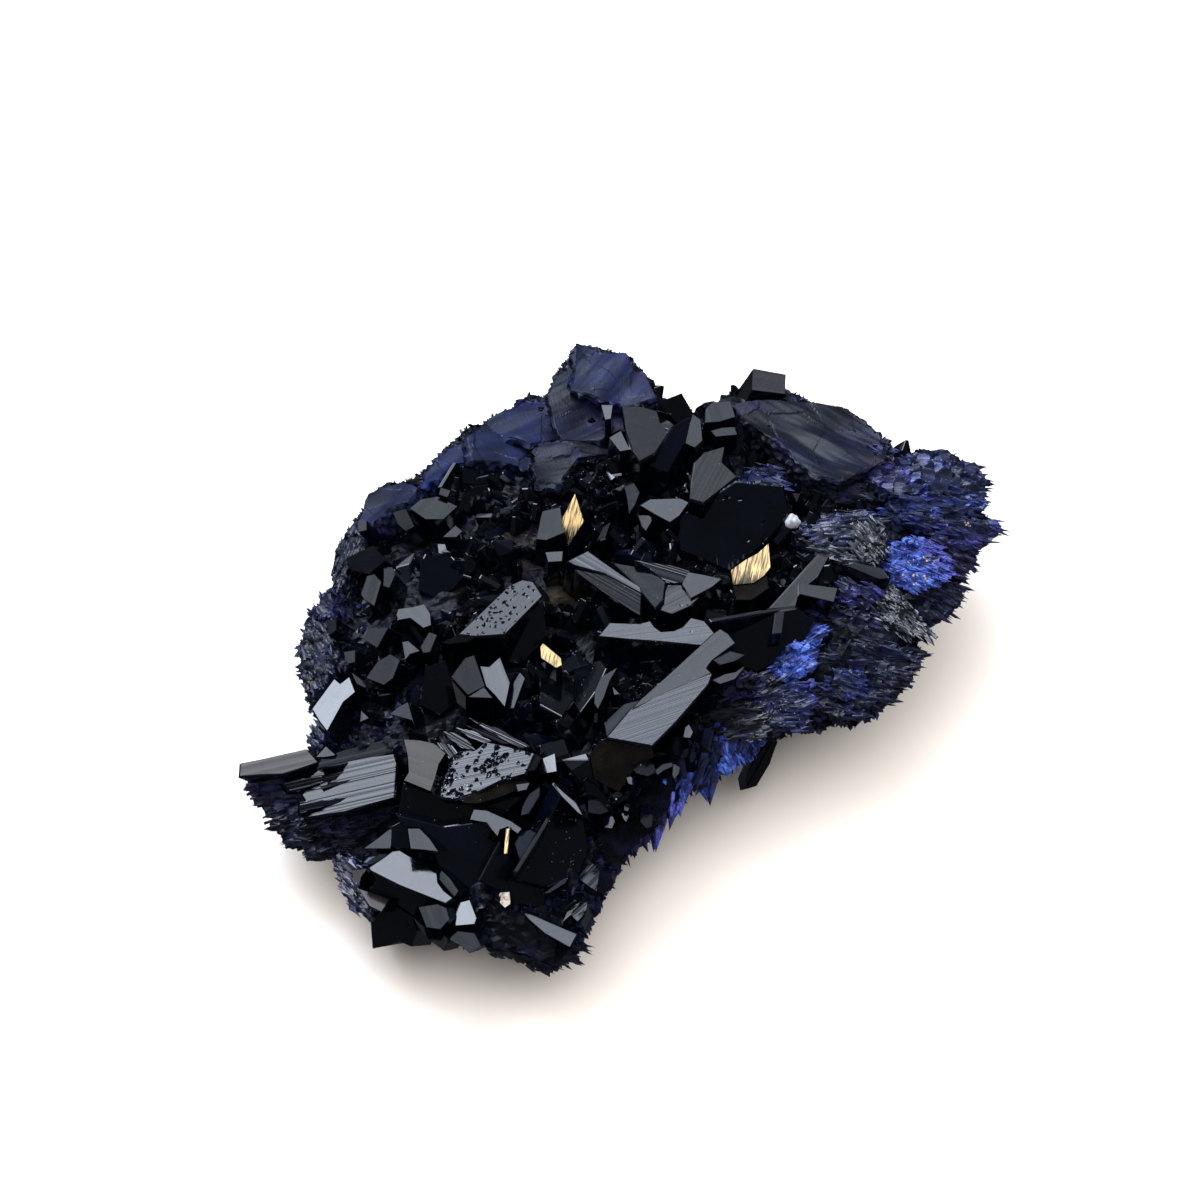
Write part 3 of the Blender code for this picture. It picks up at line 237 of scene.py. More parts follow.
UPPER_MIDDLE = [
    ("gold_diamond", 10.7, 15, 188, 3.4,
     [(575, 493), (584, 521), (568, 546), (561, 520)]),
    ("diamond_neighbour", 10.4, 15.5, 140, 3.6,
     [(536, 539), (542, 511), (560, 507), (562, 520), (565, 532), (546, 540)]),
    ("diamond_chip", 10.2, 15, 20, 3.0, [(545, 552), (563, 551), (562, 561), (548, 562)]),
    ("gold_slab", 10.8, 7, 188, 3.6,
     [(731, 570), (745, 560), (758, 553), (769, 543), (771, 567), (764, 576), (754, 583), (733, 585)]),
    ("gold_slab_foot", 10.5, 21, 280, 3.2,
     [(733, 586), (754, 584), (767, 575), (769, 588), (752, 600), (736, 600)]),
    ("kite", 10.6, 15, 20, 3.6,
     [(640, 505), (650, 499), (680, 498), (689, 502), (680, 515), (670, 522), (655, 514)]),
    ("kite_left", 10.5, 17, 70, 3.4,
     [(622, 477), (634, 482), (640, 492), (635, 505), (629, 513), (627, 498)]),
    ("kite_chip", 10.5, 17, 20, 3.0, [(638, 515), (651, 515), (652, 521), (646, 531), (641, 525)]),
    ("side_chip", 10.2, 21, 40, 3.0, [(597, 540), (603, 527), (611, 521), (606, 536)]),
    ("black_slab", 10.0, 38, 285, 4.5,
     [(680, 516), (704, 503), (736, 482), (783, 486), (787, 516), (762, 545), (730, 570), (680, 549)]),
    ("slab_shelf", 11.2, 19, 20, 4.0,
     [(692, 480), (695, 462), (705, 452), (725, 446), (722, 462), (737, 476), (704, 502), (690, 498)]),
    ("back_block", 11.2, 18, 60, 3.0,
     [(622, 405), (642, 406), (656, 410), (674, 424), (655, 452), (640, 460), (633, 450), (626, 428)]),
    ("back_block_side", 11.3, 40, 330, 3.6,
     [(674, 425), (690, 416), (686, 440), (668, 472), (641, 461), (656, 452)]),
    ("back_strip", 10.8, 13, 30, 3.4, [(601, 404), (613, 404), (611, 418), (605, 419)]),
    ("back_triangle", 11.0, 15, 30, 3.4, [(609, 437), (621, 430), (630, 449), (620, 451)]),
    ("back_black", 11.2, 34, 300, 3.4,
     [(659, 401), (682, 392), (693, 411), (690, 430), (676, 421)]),
    ("back_pale", 10.8, 17, 0, 3.4,
     [(688, 430), (693, 413), (701, 419), (703, 440), (695, 447), (680, 440)]),
    ("back_grey", 10.8, 18, 0, 3.4,
     [(705, 422), (706, 408), (713, 401), (731, 400), (736, 416), (720, 421)]),
    ("back_grey_step", 10.6, 18, 10, 3.4,
     [(711, 430), (722, 427), (735, 426), (738, 434), (716, 436)]),
    ("rim_block", 9.8, 17.5, 340, 3.2,
     [(754, 367), (787, 373), (786, 393), (753, 389)]),
]
RIGHT_SIDE = [
    ("right_wedge", 10.2, 17, 350, 3.4,
     [(768, 609), (797, 578), (818, 554), (829, 557), (818, 577), (799, 592), (796, 606)]),
    ("right_step", 10.4, 18, 20, 3.2,
     [(799, 583), (838, 588), (834, 602), (800, 594)]),
    ("right_ridge", 10.7, 22, 20, 2.6,
     [(709, 619), (752, 612), (796, 605), (796, 608), (752, 615), (712, 622)]),
    ("right_black", 9.2, 42, 285, 3.4,
     [(722, 638), (752, 616), (796, 609), (814, 622), (796, 650), (757, 672), (730, 660)]),
    ("right_pane", 10.4, 21, 10, 1.4, [(772, 634), (775, 613), (785, 610), (782, 633)]),
    ("right_blade", 9.6, 21, 30, 3.0,
     [(848, 566), (855, 562), (882, 568), (890, 578), (880, 579)]),
    ("right_blade_side", 9.3, 40, 290, 3.0,
     [(848, 567), (880, 580), (891, 579), (889, 587), (862, 580)]),
]
LOWER_MIDDLE = [
    ("tabular_right", 8.6, 42, 320, 4.2,
     [(563, 796), (572, 801), (582, 815), (588, 845), (580, 870), (548, 886), (518, 878), (516, 870)]),
    ("tabular_left", 8.9, 36, 200, 4.2,
     [(552, 783), (561, 794), (540, 834), (516, 870), (508, 862), (530, 826)]),
    ("tabular_ridge", 10.1, 22, 20, 1.6,
     [(560, 794), (563, 797), (540, 836), (518, 871), (514, 870), (537, 833)]),
    ("tabular_edge", 11.2, 12.5, 20, 1.6,
     [(554, 783), (564, 792), (576, 802), (583, 815), (578, 812), (561, 795)]),
    ("tabular_facet", 9.7, 23, 20, 2.4,
     [(515, 843), (521, 832), (530, 829), (538, 833), (530, 845), (520, 859)]),
    ("tabular_foot", 8.2, 20, 340, 2.4,
     [(543, 893), (560, 880), (568, 876), (566, 882), (550, 892)]),
    ("white_chip", 10.8, 7, 188, 3.0,
     [(538, 770), (543, 758), (555, 753), (557, 771), (540, 774)]),
    ("grey_chip", 11.2, 16, 20, 2.6, [(516, 784), (530, 782), (527, 789), (518, 791)]),
    ("grey_column", 10.4, 22, 20, 3.0,
     [(521, 815), (523, 803), (530, 793), (540, 786), (540, 795), (529, 813)]),
    ("jagged_facet", 9.6, 14, 0, 3.4,
     [(470, 819), (474, 809), (487, 810), (512, 821), (522, 828), (518, 833), (508, 826), (500, 829),
             (498, 836), (492, 829), (487, 822)]),
    ("gold_sliver", 9.9, 7, 188, 1.6, [(506, 828), (510, 828), (508, 853), (504, 853)]),
    ("round_facet", 9.4, 15.5, 200, 2.6,
     [(603, 819), (606, 815), (613, 816), (615, 821), (612, 828), (604, 827)]),
    ("striped_triangle", 7.6, 18.5, 20, 2.8,
     [(578, 877), (584, 869), (592, 862), (600, 868), (597, 891), (588, 885)]),
    ("front_knob", 7.0, 36, 320, 2.8, [(599, 869), (608, 872), (614, 880), (611, 890), (598, 893)]),
    ("front_strip", 6.9, 14, 0, 3.2,
     [(521, 910), (535, 915), (565, 928), (577, 933), (570, 946), (545, 932), (530, 919)]),
    ("front_facet", 7.0, 14, 30, 2.6,
     [(562, 922), (567, 911), (577, 905), (589, 898), (586, 911), (578, 921), (571, 914)]),
    ("front_side", 6.6, 22, 340, 2.6, [(588, 903), (592, 916), (586, 930), (580, 922)]),
    ("front_pitted", 10.7, 24, 20, 2.4,
     [(633, 769), (643, 762), (654, 764), (656, 772), (648, 776), (636, 773)]),
    ("front_angle", 10.3, 20, 20, 2.4,
     [(655, 770), (662, 764), (672, 762), (673, 766), (664, 770), (657, 775)]),
    ("front_arrow", 10.0, 18.5, 30, 2.4,
     [(673, 763), (680, 767), (679, 773), (674, 779), (672, 774)]),
    ("front_pebble", 10.0, 15.5, 20, 2.0, [(626, 777), (631, 776), (636, 781), (633, 785), (628, 783)]),
    ("front_speck", 9.0, 17.5, 20, 2.0, [(624, 805), (629, 803), (631, 804), (628, 811), (624, 810)]),
    ("front_violet", 8.8, 15.5, 20, 2.0, [(621, 813), (628, 812), (630, 814), (626, 822), (623, 818)]),
    ("front_oval", 8.8, 24, 20, 2.2,
     [(641, 812), (648, 809), (653, 816), (652, 826), (646, 828), (640, 821)]),
    ("front_shelf_chip", 9.8, 25.5, 30, 2.4,
     [(588, 800), (600, 798), (609, 811), (600, 814), (588, 812)]),
    ("violet_chip", 10.9, 15, 20, 2.2, [(683, 737), (685, 727), (689, 724), (693, 732), (690, 738)]),
    ("underside_blade", 3.0, 44, 310, 0.9,
     [(746, 778), (752, 764), (770, 738), (778, 742), (770, 764), (757, 786), (748, 789)]),
]
LOWER_LEFT = [
    ("front_lens", 7.8, 9.5, 0, 4.0,
     [(370, 867), (385, 857), (393, 851), (400, 850), (418, 861), (437, 872), (438, 882), (444, 890),
             (453, 897), (446, 902), (438, 899), (400, 884), (372, 870)]),
    ("front_lens_wing", 7.3, 23, 40, 3.0,
     [(368, 861), (385, 850), (396, 847), (400, 850), (388, 855), (372, 864)]),
    ("front_lens_face", 5.6, 46, 280, 2.6,
     [(374, 873), (400, 885), (440, 903), (419, 905), (413, 915), (392, 898), (372, 890), (376, 880)]),
    ("left_triangle", 7.4, 17, 20, 3.4,
     [(364, 848), (378, 838), (392, 827), (393, 833), (391, 848)]),
    ("navy_wedge", 7.8, 40, 280, 3.0,
     [(392, 826), (400, 822), (408, 827), (410, 848), (396, 848), (391, 846)]),
    ("right_triangle", 8.9, 16, 40, 3.4,
     [(408, 828), (420, 828), (430, 838), (439, 851), (425, 849), (411, 848)]),
    ("lens_neighbour", 7.6, 20, 30, 3.0,
     [(440, 868), (450, 877), (459, 890), (455, 896), (446, 886), (439, 878)]),
    ("white_square", 6.9, 6, 350, 2.8,
     [(447, 912), (452, 904), (470, 899), (477, 917), (475, 923), (452, 925)]),
    ("cream_block", 7.4, 19, 190, 2.6, [(501, 892), (510, 891), (511, 903), (505, 907), (500, 902)]),
    ("olive_facet", 6.6, 15, 30, 2.4, [(359, 888), (372, 892), (390, 899), (382, 911), (370, 905)]),
    ("olive_chip", 6.6, 17, 60, 2.4, [(352, 870), (368, 868), (362, 876), (360, 884), (354, 880)]),
    ("bottom_dark", 4.0, 40, 272, 2.6,
     [(371, 922), (382, 908), (395, 905), (412, 915), (418, 930), (412, 946), (400, 941), (388, 945),
             (373, 948)]),
    ("bottom_grey", 8.2, 20, 30, 2.6,
     [(419, 906), (438, 903), (447, 907), (450, 918), (441, 928), (427, 926)]),
    ("bottom_long", 7.4, 19, 300, 2.4,
     [(413, 916), (428, 928), (440, 930), (449, 938), (445, 950), (425, 935)]),
    ("bottom_dull", 7.0, 20, 40, 2.2,
     [(449, 938), (458, 930), (475, 932), (482, 945), (470, 952), (462, 945)]),
]
LEFT_CLUSTER = [
    ("white_blade", 7.4, 5, 188, 3.6,
     [(334, 679), (340, 684), (349, 677), (355, 692), (343, 702), (327, 731), (320, 722), (312, 709)]),
    ("lens", 9.2, 18.5, 20, 3.6,
     [(409, 508), (420, 499), (437, 496), (457, 506), (443, 519), (425, 519)]),
    ("lens_top", 9.3, 18.5, 30, 3.0, [(440, 487), (450, 490), (447, 497), (438, 494)]),
    ("lens_edge", 9.0, 14, 30, 2.0, [(437, 487), (452, 462), (456, 462), (441, 487)]),
    ("left_a", 8.6, 16.5, 300, 3.2, [(392, 512), (405, 508), (414, 526), (405, 531), (397, 524)]),
    ("left_b", 9.4, 17.5, 20, 3.2, [(442, 537), (455, 525), (462, 531), (456, 537)]),
    ("left_c", 8.6, 16.5, 330, 3.2,
     [(360, 594), (366, 576), (374, 574), (381, 582), (374, 606), (364, 600)]),
    ("left_d", 8.8, 17, 70, 3.2, [(383, 567), (392, 567), (395, 574), (389, 588), (383, 586)]),
    ("left_e", 9.2, 14, 0, 3.4,
     [(396, 615), (398, 609), (412, 607), (424, 604), (430, 614), (431, 625), (423, 628), (410, 618),
             (398, 620)]),
    ("left_f", 8.6, 19, 350, 3.2, [(361, 638), (367, 628), (388, 628), (377, 648)]),
    ("left_g", 9.2, 16, 30, 3.2, [(402, 642), (408, 641), (420, 651), (410, 654), (405, 660)]),
    ("left_h", 9.4, 19.5, 10, 3.2, [(420, 647), (429, 632), (437, 635), (430, 652), (423, 653)]),
    ("left_i", 8.8, 18, 340, 3.4,
     [(366, 678), (377, 662), (390, 654), (400, 660), (393, 678), (384, 685)]),
    ("left_j", 9.2, 14, 300, 3.2, [(389, 714), (399, 707), (408, 702), (417, 733), (412, 720)]),
    ("left_k", 8.6, 16, 20, 3.0, [(360, 722), (361, 710), (369, 718)]),
    ("left_o", 8.4, 20, 30, 2.6, [(351, 672), (362, 680), (369, 690), (357, 684)]),
    ("left_p", 8.0, 20, 20, 2.8, [(343, 652), (355, 650), (355, 662), (347, 664)]),
    ("left_q", 8.0, 22, 340, 2.8, [(326, 620), (336, 619), (336, 630), (328, 636)]),
    ("left_r", 8.9, 18, 0, 2.8, [(357, 520), (366, 520), (366, 530), (357, 532)]),
    ("left_l", 8.8, 34, 280, 3.2, [(420, 560), (446, 552), (462, 578), (440, 600), (418, 590)]),
    ("left_m", 8.4, 23, 250, 3.2, [(345, 558), (372, 545), (385, 560), (368, 574), (350, 570)]),
    ("left_n", 8.8, 36, 300, 3.2, [(425, 668), (445, 660), (458, 700), (440, 715), (420, 705)]),
]
LARGE = [Crystal(*facts) for facts in LEFT_PRISM + PITTED_LENS + CENTRE_BARS + CENTRE_LEFT + UPPER_MIDDLE
         + RIGHT_SIDE + LOWER_MIDDLE + LOWER_LEFT + LEFT_CLUSTER]
print(len(LARGE), "large crystals")

# %% [markdown]
# ## The rough lobes
# Around the edge the crystals are too thin to see singly. They have grown together into overlapping
# lobes with a fibrous surface and a jagged edge, some of them bright blue. A lobe has the same facts as
# a crystal, and two more: how blue it is, and the bearing that its fibres run along.

# %% the rough lobes
Lobe = namedtuple("Lobe", "name height turn toward depth blue fibre outline")

RIGHT_LOBES = [
    ("plate_back", 10.2, 23, 40, 2.6, 0.14, -35,
     [(730, 402), (765, 398), (806, 400), (843, 404), (858, 411), (882, 429), (893, 443), (888, 460),
     (868, 470), (846, 485), (818, 478), (798, 462), (776, 440), (745, 418)]),
    ("knob", 9.6, 24, 30, 2.4, 0.5, -20, [(870, 438), (890, 436), (896, 455), (884, 466), (868, 458)]),
    ("upper_arm", 9.4, 23, 20, 2.4, 0.45, 0,
     [(866, 470), (895, 457), (922, 447), (951, 447), (957, 460), (976, 462), (990, 478), (988, 494),
     (962, 500), (932, 490), (900, 493), (878, 486)]),
    ("upper_ridge", 9.9, 20, 0, 1.8, 0.2, -10,
     [(820, 480), (850, 486), (880, 476), (912, 478), (905, 490), (870, 500), (836, 498)]),
    ("middle_arm", 9.3, 23, 350, 2.2, 0.5, -8,
     [(888, 500), (930, 490), (965, 499), (990, 500), (988, 508), (966, 514), (950, 528), (905, 518)]),
    ("point", 8.7, 25, 330, 2.0, 0.45, -12,
     [(950, 520), (977, 517), (1004, 522), (1000, 534), (980, 548), (955, 545), (935, 535)]),
    ("under_point", 8.2, 26, 310, 2.0, 0.25, -25,
     [(935, 538), (980, 549), (979, 560), (960, 578), (940, 566), (925, 548)]),
    ("blue_boss", 9.3, 20, 350, 2.4, 0.9, -20,
     [(892, 542), (912, 534), (935, 540), (956, 560), (952, 578), (925, 586), (903, 578), (894, 560)]),
    ("lower_arm", 8.0, 27, 300, 2.2, 0.25, -30,
     [(898, 583), (925, 587), (958, 579), (965, 592), (963, 603), (953, 612), (928, 622), (908, 610)]),
    ("pale_streak", 8.9, 4, 330, 1.6, 0.1, -50,
     [(884, 588), (893, 580), (905, 596), (924, 620), (936, 633), (912, 638), (896, 628), (870, 612)]),
    ("inner_grey", 9.8, 11, 340, 2.0, 0.15, -55,
     [(845, 534), (860, 520), (880, 520), (889, 545), (880, 564), (862, 560), (850, 548)]),
    ("violet_shelf", 9.9, 13, 10, 2.0, 0.5, 5,
     [(802, 520), (830, 511), (862, 508), (886, 520), (860, 526), (845, 543), (815, 542)]),
    ("grey_shelf", 9.6, 14, 350, 2.0, 0.15, -15,
     [(798, 536), (815, 542), (845, 545), (862, 562), (850, 566), (830, 557), (815, 552)]),
    ("violet_wedge", 9.0, 24, 300, 2.0, 0.45, -35,
     [(840, 575), (862, 583), (885, 588), (870, 612), (858, 604), (838, 602)]),
    ("front_shelf", 8.4, 28, 300, 2.0, 0.3, -10,
     [(802, 604), (838, 604), (872, 613), (896, 630), (896, 638), (866, 640), (840, 636), (815, 626)]),
    ("lower_fan", 7.6, 26, 305, 2.0, 0.25, -12,
     [(818, 655), (842, 640), (885, 638), (926, 652), (918, 668), (908, 685), (894, 702), (868, 706),
     (862, 718), (835, 720), (812, 700)]),
    ("fan_blue", 7.8, 22, 320, 1.8, 0.55, -15,
     [(820, 672), (845, 666), (868, 674), (866, 692), (845, 700), (824, 690)]),
    ("bright_facets", 9.0, 20, 340, 2.2, 0.85, 35,
     [(776, 662), (792, 640), (806, 622), (824, 626), (820, 645), (818, 668), (800, 676), (782, 678)]),
    ("violet_boss", 8.0, 24, 300, 2.2, 0.5, 10,
     [(756, 698), (780, 682), (816, 680), (815, 706), (803, 728), (778, 731), (760, 722)]),
    ("grey_tongue", 8.2, 11, 320, 2.2, 0.1, 10,
     [(696, 716), (730, 700), (762, 702), (770, 726), (764, 738), (735, 740), (712, 728)]),
    ("dark_tongue", 8.8, 30, 290, 2.2, 0.3, 25,
     [(716, 690), (750, 672), (782, 680), (768, 694), (730, 700)]),
    ("slab_top", 10.6, 22, 20, 1.8, 0.5, -8,
     [(738, 476), (755, 464), (775, 463), (786, 470), (784, 487), (760, 488)]),
]
FRONT_LOBES = [
    ("blue_fall", 6.6, 24, 300, 2.0, 0.9, -60,
     [(700, 745), (740, 738), (768, 740), (745, 760), (726, 772), (706, 768)]),
    ("front_fringe", 5.6, 28, 300, 2.2, 0.6, -70,
     [(640, 790), (662, 772), (704, 752), (712, 762), (700, 778), (686, 784), (676, 794),
     (664, 802), (656, 816), (646, 822)]),
    ("front_corner_druse", 5.4, 30, 300, 2.0, 0.5, -70,
     [(606, 826), (630, 806), (648, 812), (648, 838), (628, 856), (612, 868)]),
    ("front_face", 4.6, 34, 285, 2.2, 0.2, -30,
     [(486, 948), (492, 930), (502, 908), (522, 918), (545, 934), (568, 948), (584, 944), (576, 958),
     (547, 972), (536, 967), (504, 955)]),
    ("left_druse", 5.0, 14, 250, 2.2, 0.35, -50,
     [(332, 858), (352, 854), (362, 872), (358, 890), (374, 908), (371, 920), (350, 908), (341, 890)]),
    ("prism_end", 6.0, 30, 255, 2.4, 0.25, 12,
     [(244, 777), (262, 776), (286, 780), (306, 792), (304, 815), (270, 819), (257, 804), (245, 787)]),
    ("prism_under", 5.4, 40, 275, 2.4, 0.15, 12,
     [(267, 821), (303, 818), (350, 810), (396, 799), (398, 815), (376, 832), (360, 850), (332, 857),
     (306, 859), (300, 848), (285, 843), (276, 830)]),
]
BACK_LOBES = [
    ("peak", 8.8, 21, 40, 2.6, 0.3, 60,
     [(575, 341), (584, 342), (607, 351), (627, 354), (637, 370), (648, 371), (658, 400), (630, 404),
     (596, 398), (568, 388), (572, 362)]),
    ("peak_shoulder", 8.6, 19, 20, 2.6, 0.2, 40,
     [(545, 396), (555, 372), (572, 364), (598, 400), (628, 408), (626, 430), (600, 445), (560, 440)]),
    ("back_slope", 9.0, 20, 30, 2.6, 0.15, 20,
     [(538, 440), (560, 438), (600, 446), (626, 452), (580, 458), (555, 486), (538, 488), (530, 466)]),
    ("back_left_rim", 7.6, 21, 60, 2.6, 0.28, 30,
     [(484, 420), (508, 405), (526, 392), (546, 397), (560, 436), (530, 446), (505, 440), (486, 436)]),
    ("back_left_slope", 8.4, 24, 30, 2.4, 0.28, 25,
     [(462, 440), (484, 422), (506, 441), (534, 448), (530, 470), (500, 462), (468, 464)]),
    ("left_knob", 7.6, 22, 60, 2.4, 0.34, 40,
     [(422, 468), (447, 446), (462, 440), (466, 462), (452, 462), (437, 484), (422, 486)]),
    ("left_shoulder", 7.8, 24, 100, 2.4, 0.25, 60,
     [(366, 494), (380, 487), (404, 480), (420, 488), (410, 505), (390, 510), (372, 525), (356, 530)]),
    ("left_edge", 7.2, 26, 140, 2.4, 0.2, 90,
     [(334, 548), (346, 530), (360, 512), (372, 526), (362, 550), (350, 560), (336, 585), (330, 566)]),
    ("left_blue", 6.6, 22, 160, 2.4, 0.4, 120,
     [(307, 612), (322, 592), (333, 587), (336, 604), (326, 616), (308, 620)]),
    ("left_low_edge", 6.4, 24, 170, 2.4, 0.25, 120,
     [(298, 646), (305, 622), (326, 617), (330, 640), (334, 662), (318, 690), (304, 690), (299, 668)]),
    ("left_notch_blue", 6.0, 24, 200, 2.2, 0.4, 120,
     [(306, 740), (310, 728), (318, 722), (322, 740), (312, 750)]),
]
LOBE_GROUPS = {group: [Lobe(*facts) for facts in members] for group, members in
               (("right_lobes", RIGHT_LOBES), ("front_lobes", FRONT_LOBES), ("back_lobes", BACK_LOBES))}
LOBES = [lobe for members in LOBE_GROUPS.values() for lobe in members]
print(len(LOBES), "lobes")

# %% [markdown]
# ## Corners in space
# Each outline square is carried along its sight line onto the plane of the face. The result is flat by
# construction, whatever its outline.

# %% corners of a face
def face_plane(form):
    """A point on the upper face of a crystal or a lobe, and the face's normal."""
    count = len(form.outline)
    middle = [sum(square[axis] for square in form.outline) / count for axis in (0, 1)]
    return sight_line_at(middle, form.height * MM), face_normal(form.turn, form.toward)


def on_plane(square, anchor, normal):
    """Where the sight line through a square meets a plane."""
    start = sight_line_at(square, 0)
    return start + TO_VIEWER * (anchor - start).dot(normal) / TO_VIEWER.dot(normal)


def face_corners(form):
    anchor, normal = face_plane(form)
    return [on_plane(square, anchor, normal) for square in form.outline], normal


# %% [markdown]
# ## The plate's outline
# The real plate broke off a larger one and has an uneven edge. A circle bent by noise would be quicker
# to make, but its shape is what tells this specimen from another, so it is drawn. It is needed first,
# because every crystal near it leans outwards over it.

# %% the plate's outline
RIM_HEIGHT = 5.2 * MM       # middle of the plate's edge, above the surface it rests on
RIM_SLOPE = 0.075           # the edge lifts towards +X by this much per unit of length
RIM_OUTLINE = [
    (575, 344), (600, 351), (627, 358), (645, 374), (660, 397), (690, 408), (701, 420), (715, 404),
    (737, 390), (754, 378), (786, 384), (805, 402), (843, 407), (864, 426), (890, 442), (912, 457),
    (951, 452), (975, 466), (988, 484), (986, 506), (974, 514), (1000, 524), (978, 546), (963, 566),
    (958, 596), (932, 618), (926, 632), (898, 640), (922, 654), (905, 676), (888, 700), (864, 712),
    (802, 724), (765, 738), (728, 766), (702, 782), (682, 793), (664, 815), (642, 840), (616, 862),
    (598, 898), (582, 938), (553, 962), (504, 948), (463, 944), (424, 926), (385, 914), (350, 900),
    (338, 868), (334, 835), (322, 800), (314, 765), (314, 735), (320, 722), (310, 704), (303, 680),
    (300, 650), (309, 616), (332, 588), (337, 547), (362, 510), (374, 493), (406, 487), (425, 470),
    (452, 443), (484, 422), (510, 407), (528, 395), (546, 397), (558, 372),
]


def rim_points():
    points = []
    for square in RIM_OUTLINE:
        x = sight_line_at(square, 0).x
        points.append(sight_line_at(square, RIM_HEIGHT + RIM_SLOPE * x))
    return points


RIM = rim_points()
RIM_MIDDLE = sum(RIM, Vector()) / len(RIM)
RIM_ROUND = sorted((math.atan2(p.y - RIM_MIDDLE.y, p.x - RIM_MIDDLE.x), (p - RIM_MIDDLE).xy.length)
                   for p in RIM)


def edge_share(x, y):
    """How near a place is to the plate's edge: 0 at the middle, 1 on the outline."""
    bearings, reaches = zip(*RIM_ROUND)
    reach = np.interp(np.arctan2(y - RIM_MIDDLE.y, x - RIM_MIDDLE.x), bearings, reaches, period=math.tau)
    return np.hypot(x - RIM_MIDDLE.x, y - RIM_MIDDLE.y) / reach


# %% [markdown]
# ## A crystal's body
# Under its upper face a crystal has a chamfer and walls down to a foot that is buried in the crust. In
# the middle of the plate it stands straight. Towards the edge it leans outwards, so its foot lies back
# under the plate. A fine bevel catches light along every edge: even a sharp crystal edge is rounded at
# this scale.

# %% rings and bevel
CHAMFER = 0.12 * MM
LARGE_FACE = 2.6 * MM               # a face that reaches further than this from its middle is chamfered
FLARE = 0.16                        # the foot is wider than the face by this share
LOWEST_CRYSTAL = 0.5 * MM
EDGE_BEVEL = 0.025 * MM
LEAN = 1.1                          # how far a foot at the edge lies back, as a share of its depth
LEAN_FROM, LEAN_OVER = 0.5, 0.35    # the lean grows from this share of the outline, over this much of it


def root_shift(middle, depth):
    """How far back towards the plate's middle the foot of a crystal lies."""
    outwards = (float(edge_share(middle.x, middle.y)) - LEAN_FROM) / LEAN_OVER
    lean = min(1, max(0, outwards)) * LEAN * depth
    back = Vector((RIM_MIDDLE.x - middle.x, RIM_MIDDLE.y - middle.y, 0)).normalized()
    return Vector((back.x * 0.7, max(back.y, 0), 0)) * lean


def loft(bm, rings):
    """A closed body through rings of equal count, the first on top and the last below."""
    rows = [[bm.verts.new((p.x, p.y, max(p.z, LOWEST_CRYSTAL))) for p in ring] for ring in rings]
    for upper, lower in zip(rows, rows[1:]):
        for i in range(len(upper)):
            j = (i + 1) % len(upper)
            bm.faces.new((upper[i], upper[j], lower[j], lower[i]))
    bm.faces.new(rows[0])
    bm.faces.new(rows[-1])
    bmesh.ops.recalc_face_normals(bm, faces=bm.faces)


def body_rings(form, chamfer, flare):
    face, normal = face_corners(form)
    middle = sum(face, Vector()) / len(face)
    depth = form.depth * MM
    shift = root_shift(middle, depth)
    rings = [face]
    if chamfer:
        rings.append([p + (p - middle).normalized() * chamfer - normal * chamfer for p in face])
    foot = []
    for point in rings[-1]:
        out = point - middle
        out.z = 0
        foot.append(point + out * flare + shift - Vector((0, 0, depth)))
    rings.append(foot)
    return rings


def crystal_body(crystal):
    face, _ = face_corners(crystal)
    middle = sum(face, Vector()) / len(face)
    large = max((point - middle).length for point in face) > LARGE_FACE
    bm = bmesh.new()
    loft(bm, body_rings(crystal, CHAMFER if large else 0, FLARE))
    bmesh.ops.bevel(bm, geom=bm.edges[:], offset=EDGE_BEVEL, segments=1, affect="EDGES", clamp_overlap=True)
    bmesh.ops.triangulate(bm, faces=[face for face in bm.faces if len(face.verts) > 4])
    return bm


# %% [markdown]
# ## Growth lines, ridges and pits
# Azurite grows in thin layers, so its faces carry fine parallel lines, and some are ridged or etched
# into pits. The lines could be painted as bump, but then a low light would not find them. Here each
# face is cut by parallel planes and the cuts are moved up or down a little, so every line is real.

